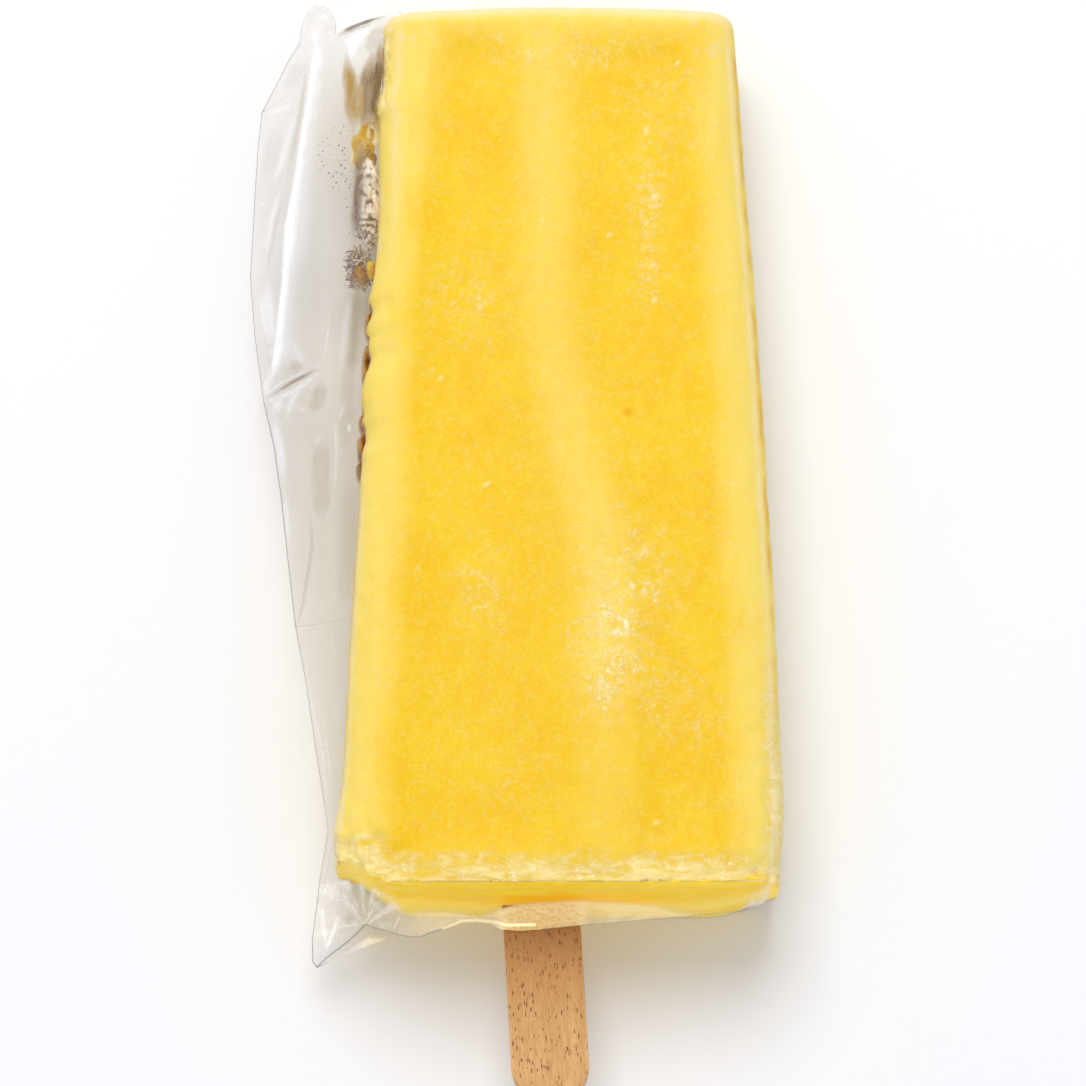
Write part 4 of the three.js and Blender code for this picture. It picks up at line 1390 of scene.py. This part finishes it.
def back_film():
    material, start = new_material("film_back")
    place = start.place()
    line = 1 - start.mask("line").eased(0.0, 0.16)
    gleam = 1 - start.mask("gleam").eased(-0.75, 0.35)
    white = gleam * 0.85 + film_sheen(start, SLACK_SHEEN)
    colour = (white / (white + (BACK_GREY * 0.55 + 0.01))).clamped().blend(FILM_SHADE, FILM_WHITE)
    colour = line.blend(colour, FILM_LINE)
    cover = (white + BACK_GREY * (0.4 + film_streaks(place) * 0.25)).larger(line * 0.62)
    return film_surface(material, BACK_TINT, colour, white * white * 0.26, cover, film_ripples(place))


def soften(sheet):
    """Rounds the bends of a sheet except along its creases and its edge."""
    kept = {v for e in sheet.edges if e.seam or e.is_boundary for v in e.verts}
    loose = [v for v in sheet.verts if v not in kept]
    for _ in range(SOFTENING_ROUNDS):
        bmesh.ops.smooth_vert(sheet, verts=loose, factor=0.5, use_axis_z=True)


def make_layer(name, outline, creases, marks, material):
    sheet = plan_net(outline, creases)
    soften(sheet)
    masks = {}
    for vertex in sheet.verts:
        x, y, z = vertex.co
        for mask, value in marks(x, y).items():
            masks.setdefault(mask, []).append(value)
        vertex.co.z = max(0.05, z + 0.05 * noise.noise(Vector((x / 2.2, y / 5, 1))))
    for edge in sheet.edges:
        edge.smooth = not edge.seam
    bmesh.ops.recalc_face_normals(sheet, faces=sheet.faces)
    return finish(name, sheet, material, masks)


def make_front_layer():
    contact = [leaves_bar(y, 1) for y in range(56, -57, -4)]
    rim = [bar_point(u / 20, -1, 1) + Vector((0, -0.06, 0.06)) for u in range(-18, 20, 2)]
    corner = [bar_point(0.98, -1, 0.7)]
    outline = OUTER_FOLD[:1] + EAR + SEAL + CORNER_WRAP + [tuple(p) for p in contact + rim + corner]
    outline += FRONT_MOUTH[::-1] + OUTER_FOLD[:0:-1]
    creases = [TIP_RIDGE, FLASH_LEFT, FLASH_RIGHT, TIP_CORNER, TIP_FLASH, FOLD_FLASH]
    creases += [CROSS_CREASE, CROSS_SHADE] + STAR_RAYS + SOFT_FOLDS + [WAIST_RIDGE, WAIST_STEP]
    creases += MOUTH_CREASES
    return make_layer("film_front", outline, creases, front_marks, front_film())


def make_back_layer():
    contact = [leaves_bar(y, -1) for y in range(56, -57, -4)]
    rim = [bar_point(u / 20, -1, -1) - Vector((0, 0.06, 0.1)) for u in range(-16, 20, 2)]
    lowered = [(x, y, z - 1) for x, y, z in OUTER_FOLD[:1] + EAR + SEAL]
    outline = lowered + [(-22, 61, 6), (-22.2, 59.5, 3)] + [tuple(p) for p in contact + rim]
    outline += BACK_MOUTH[::-1] + OUTER_FOLD[:0:-1]
    creases = [[(-36, 50, 6.2), (-36.5, 36, 4.6), (-35, 20, 4.2), (-33.5, 4, 4.4), (-31.5, -16, 4.8)]]
    return make_layer("film_back", outline, creases, back_marks, back_film())


for layer in (make_front_layer(), make_back_layer()):
    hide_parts("film_sleeve")


# ---- What it lies on, the light and the camera ----
# A pale table, one large soft lamp beyond the tip and to the left, and a camera over the base end,
# tilted just enough to show some of it.

TABLE_WHITE = (0.85, 0.85, 0.85, 1)
TABLE_LIGHT = (0.86, 0.86, 0.86, 1)
TABLE_HALF = 3
LAMP_PLACE = (-0.1, 0.62, 1.25)
LAMP_SIZE = 0.9
LAMP_POWER = 12.3
SKY_COLOUR = (0.97, 0.985, 1.06, 1)
SKY_STRENGTH = 0.66
CAMERA_TARGET = Vector((-0.0023, -0.012, 0.0125))
CAMERA_DISTANCE = 0.7
CAMERA_TILT = math.radians(15)
CAMERA_LENS = 176


def pale_table():
    material, start = new_material("pale_table")
    place = start.place()
    table = {
        "Base Color": place.cloud(90).blend(TABLE_WHITE, TABLE_LIGHT),
        "Roughness": 0.8,
        "Specular IOR Level": 0.1,
    }
    return surface(material, start.shader(table))


def make_table():
    sheet = bmesh.new()
    bmesh.ops.create_grid(sheet, x_segments=1, y_segments=1, size=TABLE_HALF)
    mesh = bpy.data.meshes.new("table")
    sheet.to_mesh(mesh)
    sheet.free()
    mesh.materials.append(pale_table())
    table = bpy.data.objects.new("table", mesh)
    bpy.context.scene.collection.objects.link(table)
    return table


make_table()

light = bpy.data.lights.new("soft_lamp", "AREA")
light.shape = "DISK"
light.size = LAMP_SIZE
light.energy = LAMP_POWER
lamp = bpy.data.objects.new("soft_lamp", light)
lamp.location = LAMP_PLACE
lamp.rotation_euler = (-Vector(LAMP_PLACE)).to_track_quat("-Z", "Y").to_euler()
bpy.context.scene.collection.objects.link(lamp)

world = bpy.data.worlds.new("studio")
world.use_nodes = True
sky = world.node_tree.nodes["Background"].inputs
sky["Color"].default_value = SKY_COLOUR
sky["Strength"].default_value = SKY_STRENGTH
bpy.context.scene.world = world
bpy.context.scene.view_settings.view_transform = "Standard"

camera = bpy.data.objects.new("camera", bpy.data.cameras.new("camera"))
camera.data.lens = CAMERA_LENS
camera.data.sensor_width = 36
away = Vector((0, -math.sin(CAMERA_TILT), math.cos(CAMERA_TILT))) * CAMERA_DISTANCE
camera.location = CAMERA_TARGET + away
camera.rotation_euler = (CAMERA_TILT, 0, 0)
bpy.context.scene.collection.objects.link(camera)
bpy.context.scene.camera = camera
